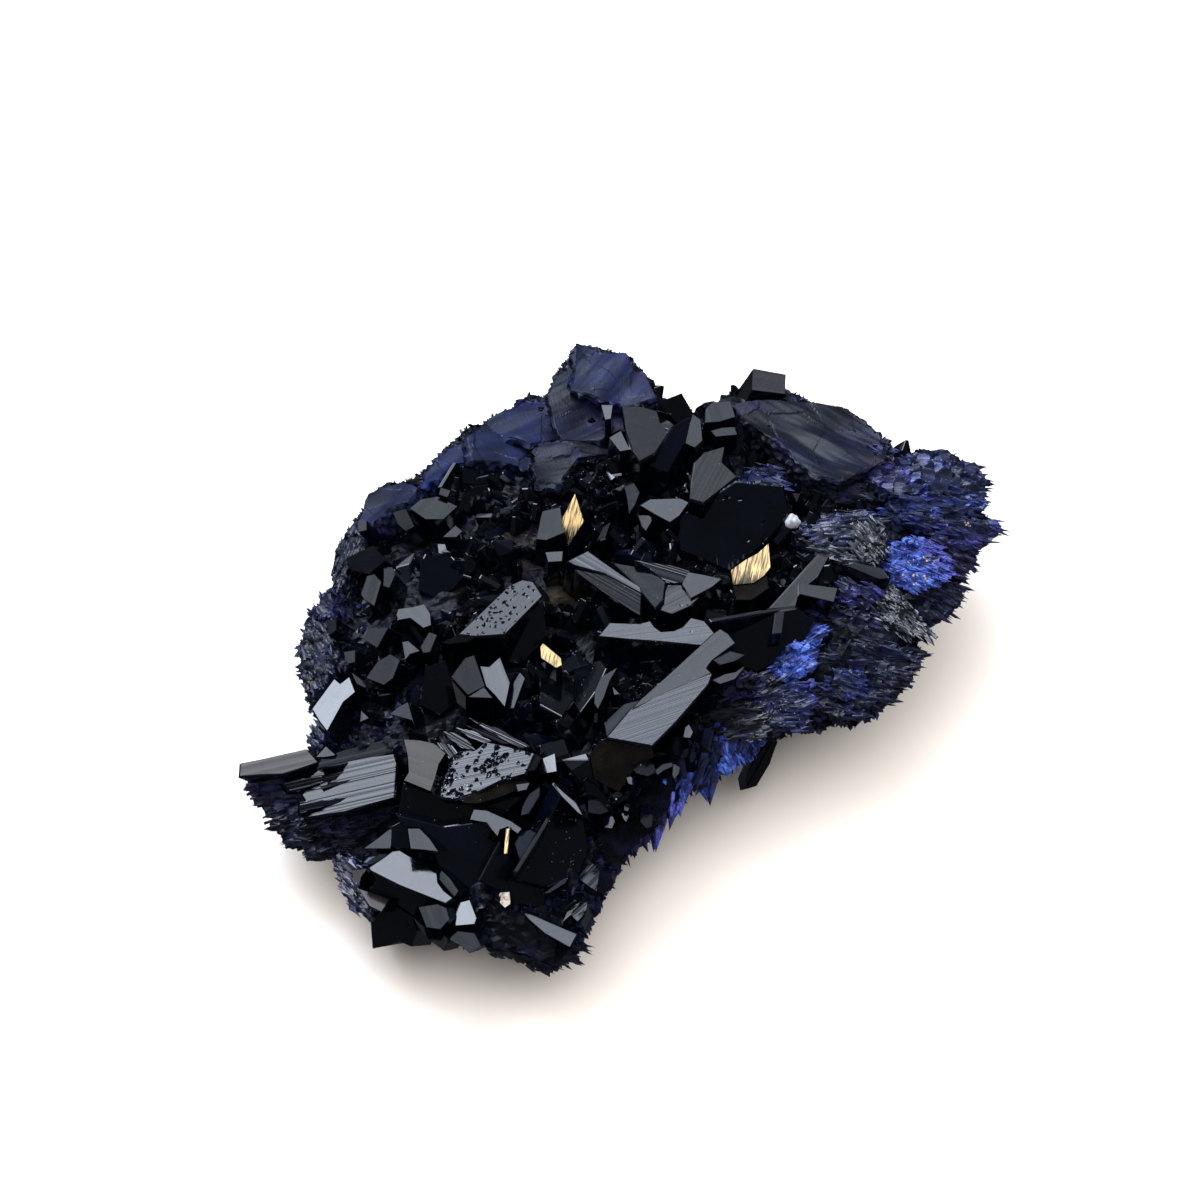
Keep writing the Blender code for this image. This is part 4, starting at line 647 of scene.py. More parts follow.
# %% marks on the faces
# along: two squares that the lines run between. spacing and relief are in mm. pits is how many there
# are on a square mm, and pit_size is the radius of the largest in mm.
Growth = namedtuple("Growth", "along spacing relief pits pit_size")
PLAIN = (None, 0.5, 0.003, 0, 0)
PRISM_AXIS = ((287, 779), (393, 755))
GROWTH = {
    "ridged_base": (PRISM_AXIS, 0.1, 0.007, 0, 0),
    "slot_upper": (PRISM_AXIS, 0.07, 0.012, 0, 0),
    "slot_middle": (PRISM_AXIS, 0.07, 0.012, 0, 0),
    "slot_lower": (PRISM_AXIS, 0.07, 0.012, 0, 0),
    "ridged_back": (PRISM_AXIS, 0.4, 0.004, 0, 0),
    "ridged_back_strip": (PRISM_AXIS, 0.15, 0.012, 0, 0),
    "pitted_face": (((432, 792), (525, 773)), 0.06, 0.005, 11, 0.2),
    "pitted_shoulder": (None, 0.4, 0.003, 0.2, 0.1),
    "cross_bar": (((599, 635), (708, 622)), 0.08, 0.004, 0.5, 0.08),
    "long_bar": (((640, 700), (715, 640)), 0.3, 0.001, 0, 0),
    "long_bar_foot": (((640, 712), (705, 690)), 0.05, 0.0018, 0, 0),
    "long_bar_end": (None, 0.3, 0.01, 0, 0),
    "diagonal_bar": (((569, 559), (641, 600)), 0.1, 0.003, 0, 0),
    "diagonal_bar_side": (((569, 559), (641, 600)), 0.1, 0.0025, 0, 0),
    "stepped_strata": (((640, 560), (690, 575)), 0.1, 0.012, 0, 0),
    "stepped_bright": (((682, 590), (722, 579)), 0.2, 0.004, 0.3, 0.08),
    "stepped_lower": (((654, 608), (690, 590)), 0.12, 0.009, 0.8, 0.12),
    "lozenge": (((459, 634), (522, 580)), 0.06, 0.0007, 12, 0.09),
    "ledge_low": (((436, 742), (449, 759)), 0.06, 0.012, 0, 0),
    "ledge_one": (((443, 731), (476, 750)), 0.06, 0.012, 0, 0),
    "ledge_two": (((455, 727), (492, 741)), 0.06, 0.012, 0, 0),
    "ledge_three": (((462, 722), (512, 744)), 0.06, 0.012, 0, 0),
    "ledge_four": (((468, 717), (530, 746)), 0.06, 0.012, 0, 0),
    "underside_blade": (((748, 789), (775, 740)), 0.12, 0.03, 0, 0),
    "front_pitted": (None, 0.08, 0.003, 8, 0.08),
    "gold_diamond": (((566, 541), (580, 497)), 0.06, 0.004, 0, 0),
    "gold_slab": (((735, 560), (737, 584)), 0.08, 0.005, 0, 0),
    "black_slab": (((735, 500), (742, 560)), 0.1, 0.02, 1.2, 0.16),
    "slab_shelf": (((695, 498), (722, 446)), 0.1, 0.0015, 0, 0),
    "back_block": (None, 0.16, 0.003, 0.8, 0.1),
    "front_lens": (((370, 868), (442, 902)), 0.3, 0.003, 0, 0),
    "striped_triangle": (((578, 877), (605, 849)), 0.12, 0.02, 0, 0),
    "front_facet": (((562, 922), (589, 898)), 0.12, 0.012, 0, 0),
}


def cut_by_planes(bm, through, normal, reach, spacing, rng):
    """Cuts the body by planes at uneven spacing and returns how far along the normal each one lies."""
    places, at = [], -reach
    while at < reach:
        at += spacing * rng.uniform(0.5, 1.6)
        bmesh.ops.bisect_plane(bm, geom=bm.verts[:] + bm.edges[:] + bm.faces[:], dist=1e-8,
                               plane_co=through + normal * at, plane_no=normal)
        places.append(at)
    return places


def longest_edge(corners):
    pairs = zip(corners, corners[1:] + corners[:1])
    return max((b - a for a, b in pairs), key=lambda edge: edge.length).normalized()


def lines_along(growth, corners, normal, middle):
    """The direction that the growth lines run in, within the face."""
    if growth.along:
        start, end = [on_plane(square, middle, normal) for square in growth.along]
        return (end - start).normalized()
    return longest_edge(corners)


def mark_face(bm, crystal, rng):
    """Growth lines over the whole body, and pits in its upper face."""
    growth = Growth(*GROWTH.get(crystal.name, PLAIN))
    corners, normal = face_corners(crystal)
    middle = sum(corners, Vector()) / len(corners)
    along = lines_along(growth, corners, normal, middle)
    across = normal.cross(along)
    reach = max((corner - middle).length for corner in corners)
    places = cut_by_planes(bm, middle, across, reach, growth.spacing * MM, rng)
    moves = {round(place, 7): rng.uniform(-1, 1) * growth.relief * MM for place in places}
    for vert in bm.verts:
        place = round((vert.co - middle).dot(across), 7)
        if place in moves:
            vert.co += normal * moves[place]
    if growth.pits:
        cut_by_planes(bm, middle, along, reach, growth.spacing * MM, rng)
        sink_pits(bm, crystal, growth, (middle, normal, along, across, reach), rng)


def sink_pits(bm, crystal, growth, frame, rng):
    """Sinks uneven pits into the face."""
    middle, normal, along, across, reach = frame
    area = 0.5 * (2 * reach) ** 2
    pits = []
    for _ in range(int(growth.pits * area / MM ** 2)):
        centre = middle + along * rng.uniform(-reach, reach) + across * rng.uniform(-reach, reach)
        pits.append((centre, growth.pit_size * MM * rng.uniform(0.3, 1) ** 1.5 + 0.02 * MM))
    for vert in bm.verts:
        if abs((vert.co - middle).dot(normal)) > 0.012 * MM + 3 * growth.relief * MM:
            continue
        bent = vert.co + noise.noise_vector(vert.co / (0.2 * MM)) * 0.1 * MM
        depth = 0
        for centre, radius in pits:
            if abs(bent.x - centre.x) < radius and (bent - centre).length < radius:
                depth = max(depth, radius * (1.1 - (bent - centre).length / radius))
        vert.co -= normal * depth


# %% [markdown]
# ## From many bodies to one mesh
# Hundreds of separate objects would be slow to handle and mean nothing to someone who picks the
# specimen up. The bodies of one kind are gathered into lists and become one object, each vertex with
# two numbers of its own: a tone, which differs from crystal to crystal, and a tip, from root to point.
# On the large crystals the tip says instead how far the painted gold reflection fades.

# %% gathering bodies
class Gathered:
    """Corners, faces, materials and vertex numbers of many bodies."""

    def __init__(self):
        self.corners, self.faces, self.slots = [], [], []
        self.tone, self.tip, self.count = [], [], 0

    def add(self, corners, faces, slot=0, tone=0.5, tip=None):
        corners = np.asarray(corners, dtype=float)
        self.corners.append(corners)
        self.faces.extend([tuple(int(i) + self.count for i in face) for face in faces])
        self.slots.extend([slot] * len(faces))
        self.tone.append(np.full(len(corners), tone))
        self.tip.append(np.zeros(len(corners)) if tip is None else tip)
        self.count += len(corners)

    def add_bmesh(self, bm, slot=0, tone=0.5, tip=None, up=None):
        """Adds a body. Its slot applies to all faces, or only to those that face up, where that is given."""
        bm.verts.index_update()
        corners = [vert.co[:] for vert in bm.verts]
        faces = [[vert.index for vert in face.verts] for face in bm.faces]
        self.add(corners, faces, slot, tone, tip)
        if up is not None:
            bm.normal_update()
            self.slots[-len(faces):] = [slot if face.normal.dot(up) > 0.85 else 0 for face in bm.faces]
        bm.free()

    def make(self, name, materials):
        mesh = bpy.data.meshes.new(name)
        mesh.from_pydata(np.concatenate(self.corners).tolist(), [], self.faces)
        for key, values in (("tone", self.tone), ("tip", self.tip)):
            attribute = mesh.attributes.new(key, "FLOAT", "POINT")
            attribute.data.foreach_set("value", np.concatenate(values).astype(np.float32))
        for material in materials:
            mesh.materials.append(material)
        mesh.polygons.foreach_set("material_index", self.slots)
        mesh.update()
        obj = bpy.data.objects.new(name, mesh)
        bpy.context.scene.collection.objects.link(obj)
        print(f"{name}: {len(mesh.polygons)} faces, {len(mesh.vertices)} corners")
        return obj


# %% [markdown]
# ## Colours and nodes
# Colours are written as sRGB hex, the way a paint chart gives them, and Blender works in linear light.
# Materials could be wired up by hand in the shader editor. Here one small function adds a node with its
# settings and links, so that a whole finish can be read from top to bottom.

# %% colour and node helpers
def linear(hex_colour):
    """An sRGB hex colour as the linear values that a shader takes."""
    values = [int(hex_colour[i:i + 2], 16) / 255 for i in (1, 3, 5)]
    return [v / 12.92 if v <= 0.04045 else ((v + 0.055) / 1.055) ** 2.4 for v in values] + [1.0]


def add_node(tree, kind, settings=(), inputs=()):
    """Adds a node, sets its settings, and sets or links its inputs."""
    node = tree.nodes.new(kind)
    for key, value in dict(settings).items():
        setattr(node, key, value)
    for key, value in dict(inputs).items():
        if isinstance(value, bpy.types.NodeSocket):
            tree.links.new(value, node.inputs[key])
        else:
            node.inputs[key].default_value = value
    return node


def new_material(name, **shader_inputs):
    material = bpy.data.materials.new(name)
    material.use_nodes = True
    shader = material.node_tree.nodes["Principled BSDF"]
    for key, value in shader_inputs.items():
        shader.inputs[key.replace("_", " ")].default_value = value
    return material, material.node_tree, shader


def ramp(tree, factor, stops):
    """Colours by a factor: stops are (place, hex colour)."""
    node = add_node(tree, "ShaderNodeValToRGB", inputs={"Fac": factor})
    elements = node.color_ramp.elements
    while len(elements) < len(stops):
        elements.new(0.5)
    for element, (place, colour) in zip(elements, stops):
        element.position = place
        element.color = linear(colour)
    return node.outputs["Color"]


# %% [markdown]
# ## Glassy azurite
# Azurite, a copper carbonate, has an index of refraction near 1.76, so a clean face mirrors about 8%
# of what it faces. Inside it is so strongly blue that a crystal more than a millimetre thick looks
# black. Real transmission would show the same at a much longer render time, so the body is given a
# near black colour of its own.

# %% the glassy crystal faces
AZURITE_IOR = 1.76
INNER_CLOUD = 2.2 * MM      # dim clouds inside a crystal
SMEAR = 0.7 * MM            # smears that dull the gloss here and there
FACE_GRAIN = 0.16 * MM      # the real grain is finer, and is drawn this coarse so that it shows


def glassy_azurite():
    """Clean faces give the eye mirror flashes from a black stone, and a breath of blue."""
    material, tree, shader = new_material("azurite_glassy", IOR=AZURITE_IOR, Specular_IOR_Level=0.5)
    place = add_node(tree, "ShaderNodeTexCoord").outputs["Object"]
    tone = add_node(tree, "ShaderNodeAttribute", {"attribute_name": "tone"}).outputs["Fac"]
    clouds = add_node(tree, "ShaderNodeTexNoise", inputs={"Vector": place, "Scale": 1 / INNER_CLOUD,
                                                          "Detail": 3.0})
    shade = add_node(tree, "ShaderNodeMath", {"operation": "MULTIPLY"},
                     {0: tone, 1: clouds.outputs["Fac"]})
    tree.links.new(ramp(tree, shade.outputs[0], [(0.0, "#010203"), (0.3, "#020409"), (0.7, "#050818")]),
                   shader.inputs["Base Color"])
    smear = add_node(tree, "ShaderNodeTexNoise", inputs={"Vector": place, "Scale": 1 / SMEAR,
                                                         "Detail": 4.0, "Roughness": 0.6})
    rough = add_node(tree, "ShaderNodeMapRange", inputs={"Value": smear.outputs["Fac"], "From Min": 0.35,
                                                         "From Max": 0.75, "To Min": 0.06, "To Max": 0.2})
    tree.links.new(rough.outputs["Result"], shader.inputs["Roughness"])
    grain = add_node(tree, "ShaderNodeTexNoise", inputs={"Vector": place, "Scale": 1 / FACE_GRAIN,
                                                         "Detail": 3.0})
    bump = add_node(tree, "ShaderNodeBump", inputs={"Height": grain.outputs["Fac"], "Strength": 0.25,
                                                    "Distance": 0.01 * MM})
    tree.links.new(bump.outputs["Normal"], shader.inputs["Normal"])
    return material


# %% [markdown]
# ## The painted gold reflection
# A few faces mirror warm light as a gold flash, and that reflection is painted into their colour. Where
# strongest it is golden and almost metallic, drawn into streaks along the growth lines. A metal would
# mirror too sharply, so it is a tinted, rough gloss over a golden ground, and the streaks let the dark
# crystal through where the painted gold fades.

# %% the painted gold reflection
STREAK_WIDTH = 0.09 * MM
STREAK_STRETCH = (14.0, 1.0, 14.0)      # times as long as wide, and as deep as long
STREAK_BEARING = math.radians(80)


def painted_gold_reflection():
    """Paints a warm reflection into the colour: a silky gold glow in fine streaks."""
    material, tree, shader = new_material("gold_reflection_paint", IOR=2.0)
    place = add_node(tree, "ShaderNodeTexCoord").outputs["Object"]
    stretched = add_node(tree, "ShaderNodeMapping", {"vector_type": "TEXTURE"},
                         {"Vector": place, "Scale": STREAK_STRETCH, "Rotation": (0, 0, STREAK_BEARING)})
    streaks = add_node(tree, "ShaderNodeTexNoise", inputs={"Vector": stretched.outputs[0],
                                                           "Scale": 1 / STREAK_WIDTH, "Detail": 3.0})
    foot = add_node(tree, "ShaderNodeAttribute", {"attribute_name": "tip"}).outputs["Fac"]
    # the painted gold reflection fades towards the foot
    gold_fade = add_node(tree, "ShaderNodeMapRange", inputs={"Value": foot, "From Min": 0.5, "From Max": 1.0,
                                                        "To Min": 0.0, "To Max": 0.5})
    gold_glow = add_node(tree, "ShaderNodeMath", {"operation": "SUBTRACT"},
                    {0: streaks.outputs["Fac"], 1: gold_fade.outputs["Result"]})
    tree.links.new(ramp(tree, gold_glow.outputs[0], [(0.2, "#0B0A08"), (0.42, "#3A2B17"), (0.5, "#967B4E"),
                                                (0.62, "#C2A670")]),
                   shader.inputs["Base Color"])
    gloss = add_node(tree, "ShaderNodeMapRange", inputs={"Value": gold_glow.outputs[0], "From Min": 0.2,
                                                         "From Max": 0.5, "To Min": 0.05, "To Max": 0.5})
    tree.links.new(gloss.outputs["Result"], shader.inputs["Specular IOR Level"])
    shader.inputs["Roughness"].default_value = 0.3
    shader.inputs["Specular Tint"].default_value = linear("#FFE3AC")
    bump = add_node(tree, "ShaderNodeBump", inputs={"Height": streaks.outputs["Fac"], "Strength": 0.6,
                                                    "Distance": 0.02 * MM})
    tree.links.new(bump.outputs["Normal"], shader.inputs["Normal"])
    return material


# %% [markdown]
# ## The painted brown reflection
# A fainter painted reflection of warm light, a brown tint in the base and the gloss. It could share the
# gold's nodes with less of it, but a few nodes of its own are easier to read.

# %% the painted brown reflection
FILM_CLOUD = 0.9 * MM


def painted_brown_reflection():
    """Paints a faint warm reflection into the colour: a brown, slightly uneven flash."""
    material, tree, shader = new_material("brown_reflection_paint", IOR=AZURITE_IOR)
    place = add_node(tree, "ShaderNodeTexCoord").outputs["Object"]
    clouds = add_node(tree, "ShaderNodeTexNoise", inputs={"Vector": place, "Scale": 1 / FILM_CLOUD,
                                                          "Detail": 4.0})
    tree.links.new(ramp(tree, clouds.outputs["Fac"], [(0.35, "#070605"), (0.65, "#14110F")]),
                   shader.inputs["Base Color"])
    shader.inputs["Specular Tint"].default_value = linear("#FFF8F0")
    rough = add_node(tree, "ShaderNodeMapRange", inputs={"Value": clouds.outputs["Fac"], "To Min": 0.08,
                                                         "To Max": 0.2})
    tree.links.new(rough.outputs["Result"], shader.inputs["Roughness"])
    return material


# %% [markdown]
# ## Fine azurite
# Where crystals are too small to see singly they make druse. Each grain is thin enough for light to
# pass, so druse shows the true azurite blue, in patches, in flecks and in lines that fan out from the
# middle of the plate. Light passing through the grains would take long to render, so the blue is a
# colour: how much of it shows follows each body's tone, and a little more shows at its tip.

# %% lines that fan out
LINES_A_RADIAN = 170.0
LINE_LENGTH, LINE_LAYER = 1.2 * MM, 0.3 * MM


def fan_lines(tree, place):
    """Fine lines that fan out from the middle of the plate, the way the thin crystals grew."""
    split = add_node(tree, "ShaderNodeSeparateXYZ", inputs={0: place})
    bearing = add_node(tree, "ShaderNodeMath", {"operation": "ARCTAN2"}, {0: split.outputs["Y"],
                                                                         1: split.outputs["X"]})
    reach = add_node(tree, "ShaderNodeVectorMath", {"operation": "LENGTH"}, {0: place}).outputs["Value"]
    parts = {"X": (bearing.outputs[0], LINES_A_RADIAN), "Y": (reach, 1 / LINE_LENGTH),
             "Z": (split.outputs["Z"], 1 / LINE_LAYER)}
    scaled = {}
    for axis, (value, times) in parts.items():
        scaled[axis] = add_node(tree, "ShaderNodeMath", {"operation": "MULTIPLY"},
                                {0: value, 1: times}).outputs[0]
    fan = add_node(tree, "ShaderNodeCombineXYZ", inputs=scaled)
    return add_node(tree, "ShaderNodeTexNoise", inputs={"Vector": fan.outputs[0], "Scale": 1.0,
                                                        "Detail": 3.0}).outputs["Fac"]


# %% fine azurite
PATCH_SIZE = 1.3 * MM
FLECK_SIZE = 0.1 * MM       # the real grains are finer, and are drawn this coarse so that they show
HUE_PATCH = 5 * MM          # over this distance the blue drifts between azure and violet
TIP_BLUE = 0.06             # how much bluer a crystal is at its tip


def fine_azurite(name, shine, base, patchy, flecked):
    """base, patchy and flecked share out how blue it is: all over, in patches and in fine flecks."""
    material, tree, shader = new_material(name, IOR=AZURITE_IOR)
    place = add_node(tree, "ShaderNodeTexCoord").outputs["Object"]
    tone = add_node(tree, "ShaderNodeAttribute", {"attribute_name": "tone"}).outputs["Fac"]
    tip = add_node(tree, "ShaderNodeAttribute", {"attribute_name": "tip"}).outputs["Fac"]
    patches = add_node(tree, "ShaderNodeTexNoise", inputs={"Vector": place, "Scale": 1 / PATCH_SIZE,
                                                           "Detail": 5.0, "Roughness": 0.65})
    patch = add_node(tree, "ShaderNodeMapRange", inputs={"Value": patches.outputs["Fac"], "From Min": 0.38,
                                                         "From Max": 0.64, "To Min": base,
                                                         "To Max": base + patchy})
    grain = add_node(tree, "ShaderNodeTexNoise", inputs={"Vector": place, "Scale": 1 / FLECK_SIZE,
                                                         "Detail": 4.0})
    lines = fan_lines(tree, place)
    speckle = add_node(tree, "ShaderNodeMath", {"operation": "MULTIPLY_ADD"},
                       {0: grain.outputs["Fac"], 1: 0.6, 2: lines}).outputs[0]
    fleck = add_node(tree, "ShaderNodeMapRange", inputs={"Value": speckle, "From Min": 0.6,
                                                         "From Max": 1.0, "To Max": flecked})
    blue = add_node(tree, "ShaderNodeMath", {"operation": "ADD"},
                    {0: patch.outputs["Result"], 1: fleck.outputs["Result"]})
    lit = add_node(tree, "ShaderNodeMath", {"operation": "MULTIPLY"}, {0: tone, 1: blue.outputs[0]})
    lit = add_node(tree, "ShaderNodeMath", {"operation": "MULTIPLY_ADD"},
                   {0: tip, 1: TIP_BLUE, 2: lit.outputs[0]})
    azure = ramp(tree, lit.outputs[0], [(0.08, "#080B12"), (0.25, "#111930"), (0.45, "#141D46"),
                                        (0.7, "#203A96"), (1.0, "#527EDC")])
    violet = ramp(tree, lit.outputs[0], [(0.08, "#090A12"), (0.25, "#151732"), (0.45, "#191A48"),
                                         (0.7, "#2C3290"), (1.0, "#6068CC")])
    hue = add_node(tree, "ShaderNodeTexNoise", inputs={"Vector": place, "Scale": 1 / HUE_PATCH})
    shift = add_node(tree, "ShaderNodeMapRange", inputs={"Value": hue.outputs["Fac"], "From Min": 0.45,
                                                         "From Max": 0.6})
    colour = add_node(tree, "ShaderNodeMix", {"data_type": "RGBA"}, {"Factor": shift.outputs["Result"]})
    tree.links.new(azure, colour.inputs["A"])
    tree.links.new(violet, colour.inputs["B"])
    tree.links.new(colour.outputs["Result"], shader.inputs["Base Color"])
    shader.inputs["Roughness"].default_value = 0.42
    shader.inputs["Specular IOR Level"].default_value = shine
    bump = add_node(tree, "ShaderNodeBump", inputs={"Height": speckle, "Strength": 0.5,
                                                    "Distance": 0.03 * MM})
    tree.links.new(bump.outputs["Normal"], shader.inputs["Normal"])
    return material


# %% [markdown]
# ## Crust and pale grains
# The crust is the first growth: near black azurite on brown limonite, an earthy iron ore, which shows
# only in a few hollows. Pale carbonate sits on the stone as blobs, grains and dust. All three are matt,
# so plain colours broken up by noise are enough.

# %% the crust
CRUST_GRAIN, CRUST_CLOUD = 0.35 * MM, 1.6 * MM


def crust_rock():
    """Gives the eye a dull, broken ground that lets the crystals shine out."""
    material, tree, shader = new_material("limonite_crust", IOR=1.6)
    place = add_node(tree, "ShaderNodeTexCoord").outputs["Object"]
    tone = add_node(tree, "ShaderNodeAttribute", {"attribute_name": "tone"}).outputs["Fac"]
    grains = add_node(tree, "ShaderNodeTexVoronoi", inputs={"Vector": place, "Scale": 1 / CRUST_GRAIN})
    clouds = add_node(tree, "ShaderNodeTexNoise", inputs={"Vector": place, "Scale": 1 / CRUST_CLOUD,
                                                          "Detail": 5.0})
    brown = ramp(tree, clouds.outputs["Fac"], [(0.3, "#14110D"), (0.5, "#332E26"), (0.62, "#544E42"),
                                               (0.75, "#42453C")])
    dark = ramp(tree, clouds.outputs["Fac"], [(0.3, "#020306"), (0.55, "#05070F"), (0.75, "#0A0F2C")])
    colour = add_node(tree, "ShaderNodeMix", {"data_type": "RGBA"}, {"Factor": tone})
    tree.links.new(dark, colour.inputs["A"])
    tree.links.new(brown, colour.inputs["B"])
    tree.links.new(colour.outputs["Result"], shader.inputs["Base Color"])
    shader.inputs["Roughness"].default_value = 0.5
    shader.inputs["Specular IOR Level"].default_value = 0.2
    bump = add_node(tree, "ShaderNodeBump", inputs={"Height": grains.outputs["Distance"], "Strength": 0.6,
                                                    "Distance": 0.06 * MM})
    tree.links.new(bump.outputs["Normal"], shader.inputs["Normal"])
    return material


# %% pale carbonate
CARBONATE_CLOUD = 0.3 * MM


def pale_carbonate(name, dark, light):
    """Gives the eye a soft, matt, milky grain."""
    material, tree, shader = new_material(name, IOR=1.6, Roughness=0.65)
    place = add_node(tree, "ShaderNodeTexCoord").outputs["Object"]
    clouds = add_node(tree, "ShaderNodeTexNoise", inputs={"Vector": place, "Scale": 1 / CARBONATE_CLOUD,
                                                          "Detail": 3.0})
    tree.links.new(ramp(tree, clouds.outputs["Fac"], [(0.3, dark), (0.6, light)]),
                   shader.inputs["Base Color"])
    return material


# %% the finishes
GLASSY, PAINTED_GOLD, PAINTED_BROWN, CRUST = glassy_azurite(), painted_gold_reflection(), painted_brown_reflection(), crust_rock()
DRUSE = fine_azurite("azurite_druse", 0.45, 0.25, 0.5, 0.5)         # sparkling, with bright blue flecks
SATIN = fine_azurite("azurite_satin", 0.85, 0.3, 0.4, 0.3)          # a broad grey sheen over dark blue
FROSTED = fine_azurite("azurite_frosted", 0.18, 0.6, 0.6, 0.15)     # dull, and blue all over
CREAM = pale_carbonate("cream_carbonate", "#857D71", "#B8B1A6")
MILKY_AND_GLINT_SPECKS = pale_carbonate("milky_carbonate_and_painted_glints", "#8C94A2", "#B8C0CC")
DUSTY = pale_carbonate("carbonate_dust", "#4A505C", "#8A92A0")
print("materials:", [material.name for material in (GLASSY, PAINTED_GOLD, PAINTED_BROWN, DRUSE, SATIN, FROSTED, CRUST,
                                                    CREAM, MILKY_AND_GLINT_SPECKS, DUSTY)])

# %% [markdown]
# ## Growing the large crystals
# Most faces of the real crystals are clean and glassy, and one is cream. A few take a painted gold or
# brown reflection of warm light instead. A painted mask could place these, but each covers a whole face,
# so a face simply takes the finish and the walls stay glassy. On two faces the painted gold fades towards
# the foot.

# %% grow the large crystals
rng = random.Random(11)
FACE_FINISHES = [GLASSY, PAINTED_GOLD, PAINTED_BROWN, CREAM]
# gold and brown here are painted reflections of warm light, cream is a real carbonate stain
PAINTED_REFLECTIONS_AND_STAINS = {PAINTED_GOLD: ("gold_diamond", "gold_slab", "gold_chip", "gold_sliver"),
          PAINTED_BROWN: ("gold_slab_foot", "ridged_back", "pitted_shoulder", "pitted_bevel", "olive_facet",
                  "olive_chip", "long_bar_end", "twin_olive"),
          CREAM: ("cream_block",)}
FACE_SLOTS = {name: FACE_FINISHES.index(finish) for finish, names in PAINTED_REFLECTIONS_AND_STAINS.items() for name in names}
GOLD_FADE_AT_FOOT = {"gold_slab": 0.8, "gold_diamond": 0.9}      # how far the painted gold reflection fades at the foot
VIEW_UP_ARRAY = np.array(VIEW_UP[:])


def squares_of(points):
    """The squares of the drawing grid that the points fall on, as two arrays."""
    points = np.atleast_2d(np.asarray(points, float))
    return points[:, 0] / GRID_SQUARE + GRID_ORIGIN[0], GRID_ORIGIN[1] - points @ VIEW_UP_ARRAY / GRID_SQUARE


def share_down(crystal, bm):
    """How far down the crystal's outline each corner lies, from 0 at its top to 1 at its foot."""
    _, down = squares_of([vert.co[:] for vert in bm.verts])
    top, foot = (pick(square[1] for square in crystal.outline) for pick in (min, max))
    return np.clip((down - top) / (foot - top), 0, 1)


large = Gathered()
for crystal in LARGE:
    bm = crystal_body(crystal)
    mark_face(bm, crystal, rng)
    large.add_bmesh(bm, slot=FACE_SLOTS.get(crystal.name, 0), tone=rng.uniform(0.2, 1),
                    tip=share_down(crystal, bm) * GOLD_FADE_AT_FOOT.get(crystal.name, 0), up=face_plane(crystal)[1])
large_crystals = large.make("large_crystals", FACE_FINISHES)

# %% [markdown]
# ## The crust
# The plate is lofted through rings: the outline of its edge, pulled in towards the middle, climbing to
# the ground on top and falling to the resting face underneath. Subdividing it and moving its vertices
# by noise roughens it. Limonite shows only in a few hollows between the crystals.

# %% rings of the crust
GROUND_HEIGHT = 7.9 * MM            # top of the plate between the crystals
GROUND_ROUGHNESS = 0.9 * MM
GROUND_SLOPE = 0.03
LUMP_SPACING = 6 * MM
UNDERSIDE_ROUGHNESS = 0.7 * MM
RESTING_SHARE = 0.42                # size of the flat broken face, as a share of the plate's outline
TOP_RINGS = ((0.3, 1.0), (0.58, 1.0), (0.8, 0.85), (0.95, 0.45), (1.0, 0.0))    # share and climb
UNDER_RINGS = ((0.95, 0.72), (0.72, 0.3), (RESTING_SHARE, 0))                   # share and lift


def ground_height(x, y):
    lumps = noise.noise(Vector((x, y, 0)) / LUMP_SPACING)
    return GROUND_HEIGHT + GROUND_SLOPE * x + lumps * GROUND_ROUGHNESS


def pulled_in(point, share):
    return (RIM_MIDDLE.x + (point.x - RIM_MIDDLE.x) * share,
            RIM_MIDDLE.y + (point.y - RIM_MIDDLE.y) * share)


def uneven(index, share):
    return 2 * noise.noise(Vector((index * 1.37 + 0.4, share * 9.1, 3.3)))


def plate_ring(share, climb=None, lift=None):
    ring = []
    for index, point in enumerate(RIM):
        x, y = pulled_in(point, share)
        if lift is None:
            rough = uneven(index, share) * GROUND_ROUGHNESS * share * (climb > 0)
            z = point.z + (ground_height(x, y) - point.z) * climb + rough
        else:
            z = point.z * lift + abs(uneven(index, -share)) * UNDERSIDE_ROUGHNESS * (lift > 0)
        ring.append(Vector((x, y, z)))
    return ring


# %% loft and roughen the crust
ROUGHENING = ((1.1, 0.22), (0.5, 0.16), (0.22, 0.1))   # size of the lumps and their height, in mm
# the squares where limonite shows, and how many squares it reaches
HOLLOWS = [((512, 552), 17), ((560, 602), 14), ((570, 614), 12), ((582, 720), 12), ((526, 645), 9),
           ((575, 700), 9), ((676, 470), 15), ((690, 488), 8), ((562, 634), 9), ((700, 556), 9)]
CRUST_EDGE = 0.5 * MM


def split_long_edges(bm, longest, times, above):
    """Halves the edges that are too long, times over, leaving those that lie below a height."""
    for _ in range(times):
        edges = [edge for edge in bm.edges if edge.calc_length() > longest
                 and max(vert.co.z for vert in edge.verts) > above]
        bmesh.ops.subdivide_edges(bm, edges=edges, cuts=1)
        bmesh.ops.triangulate(bm, faces=bm.faces)


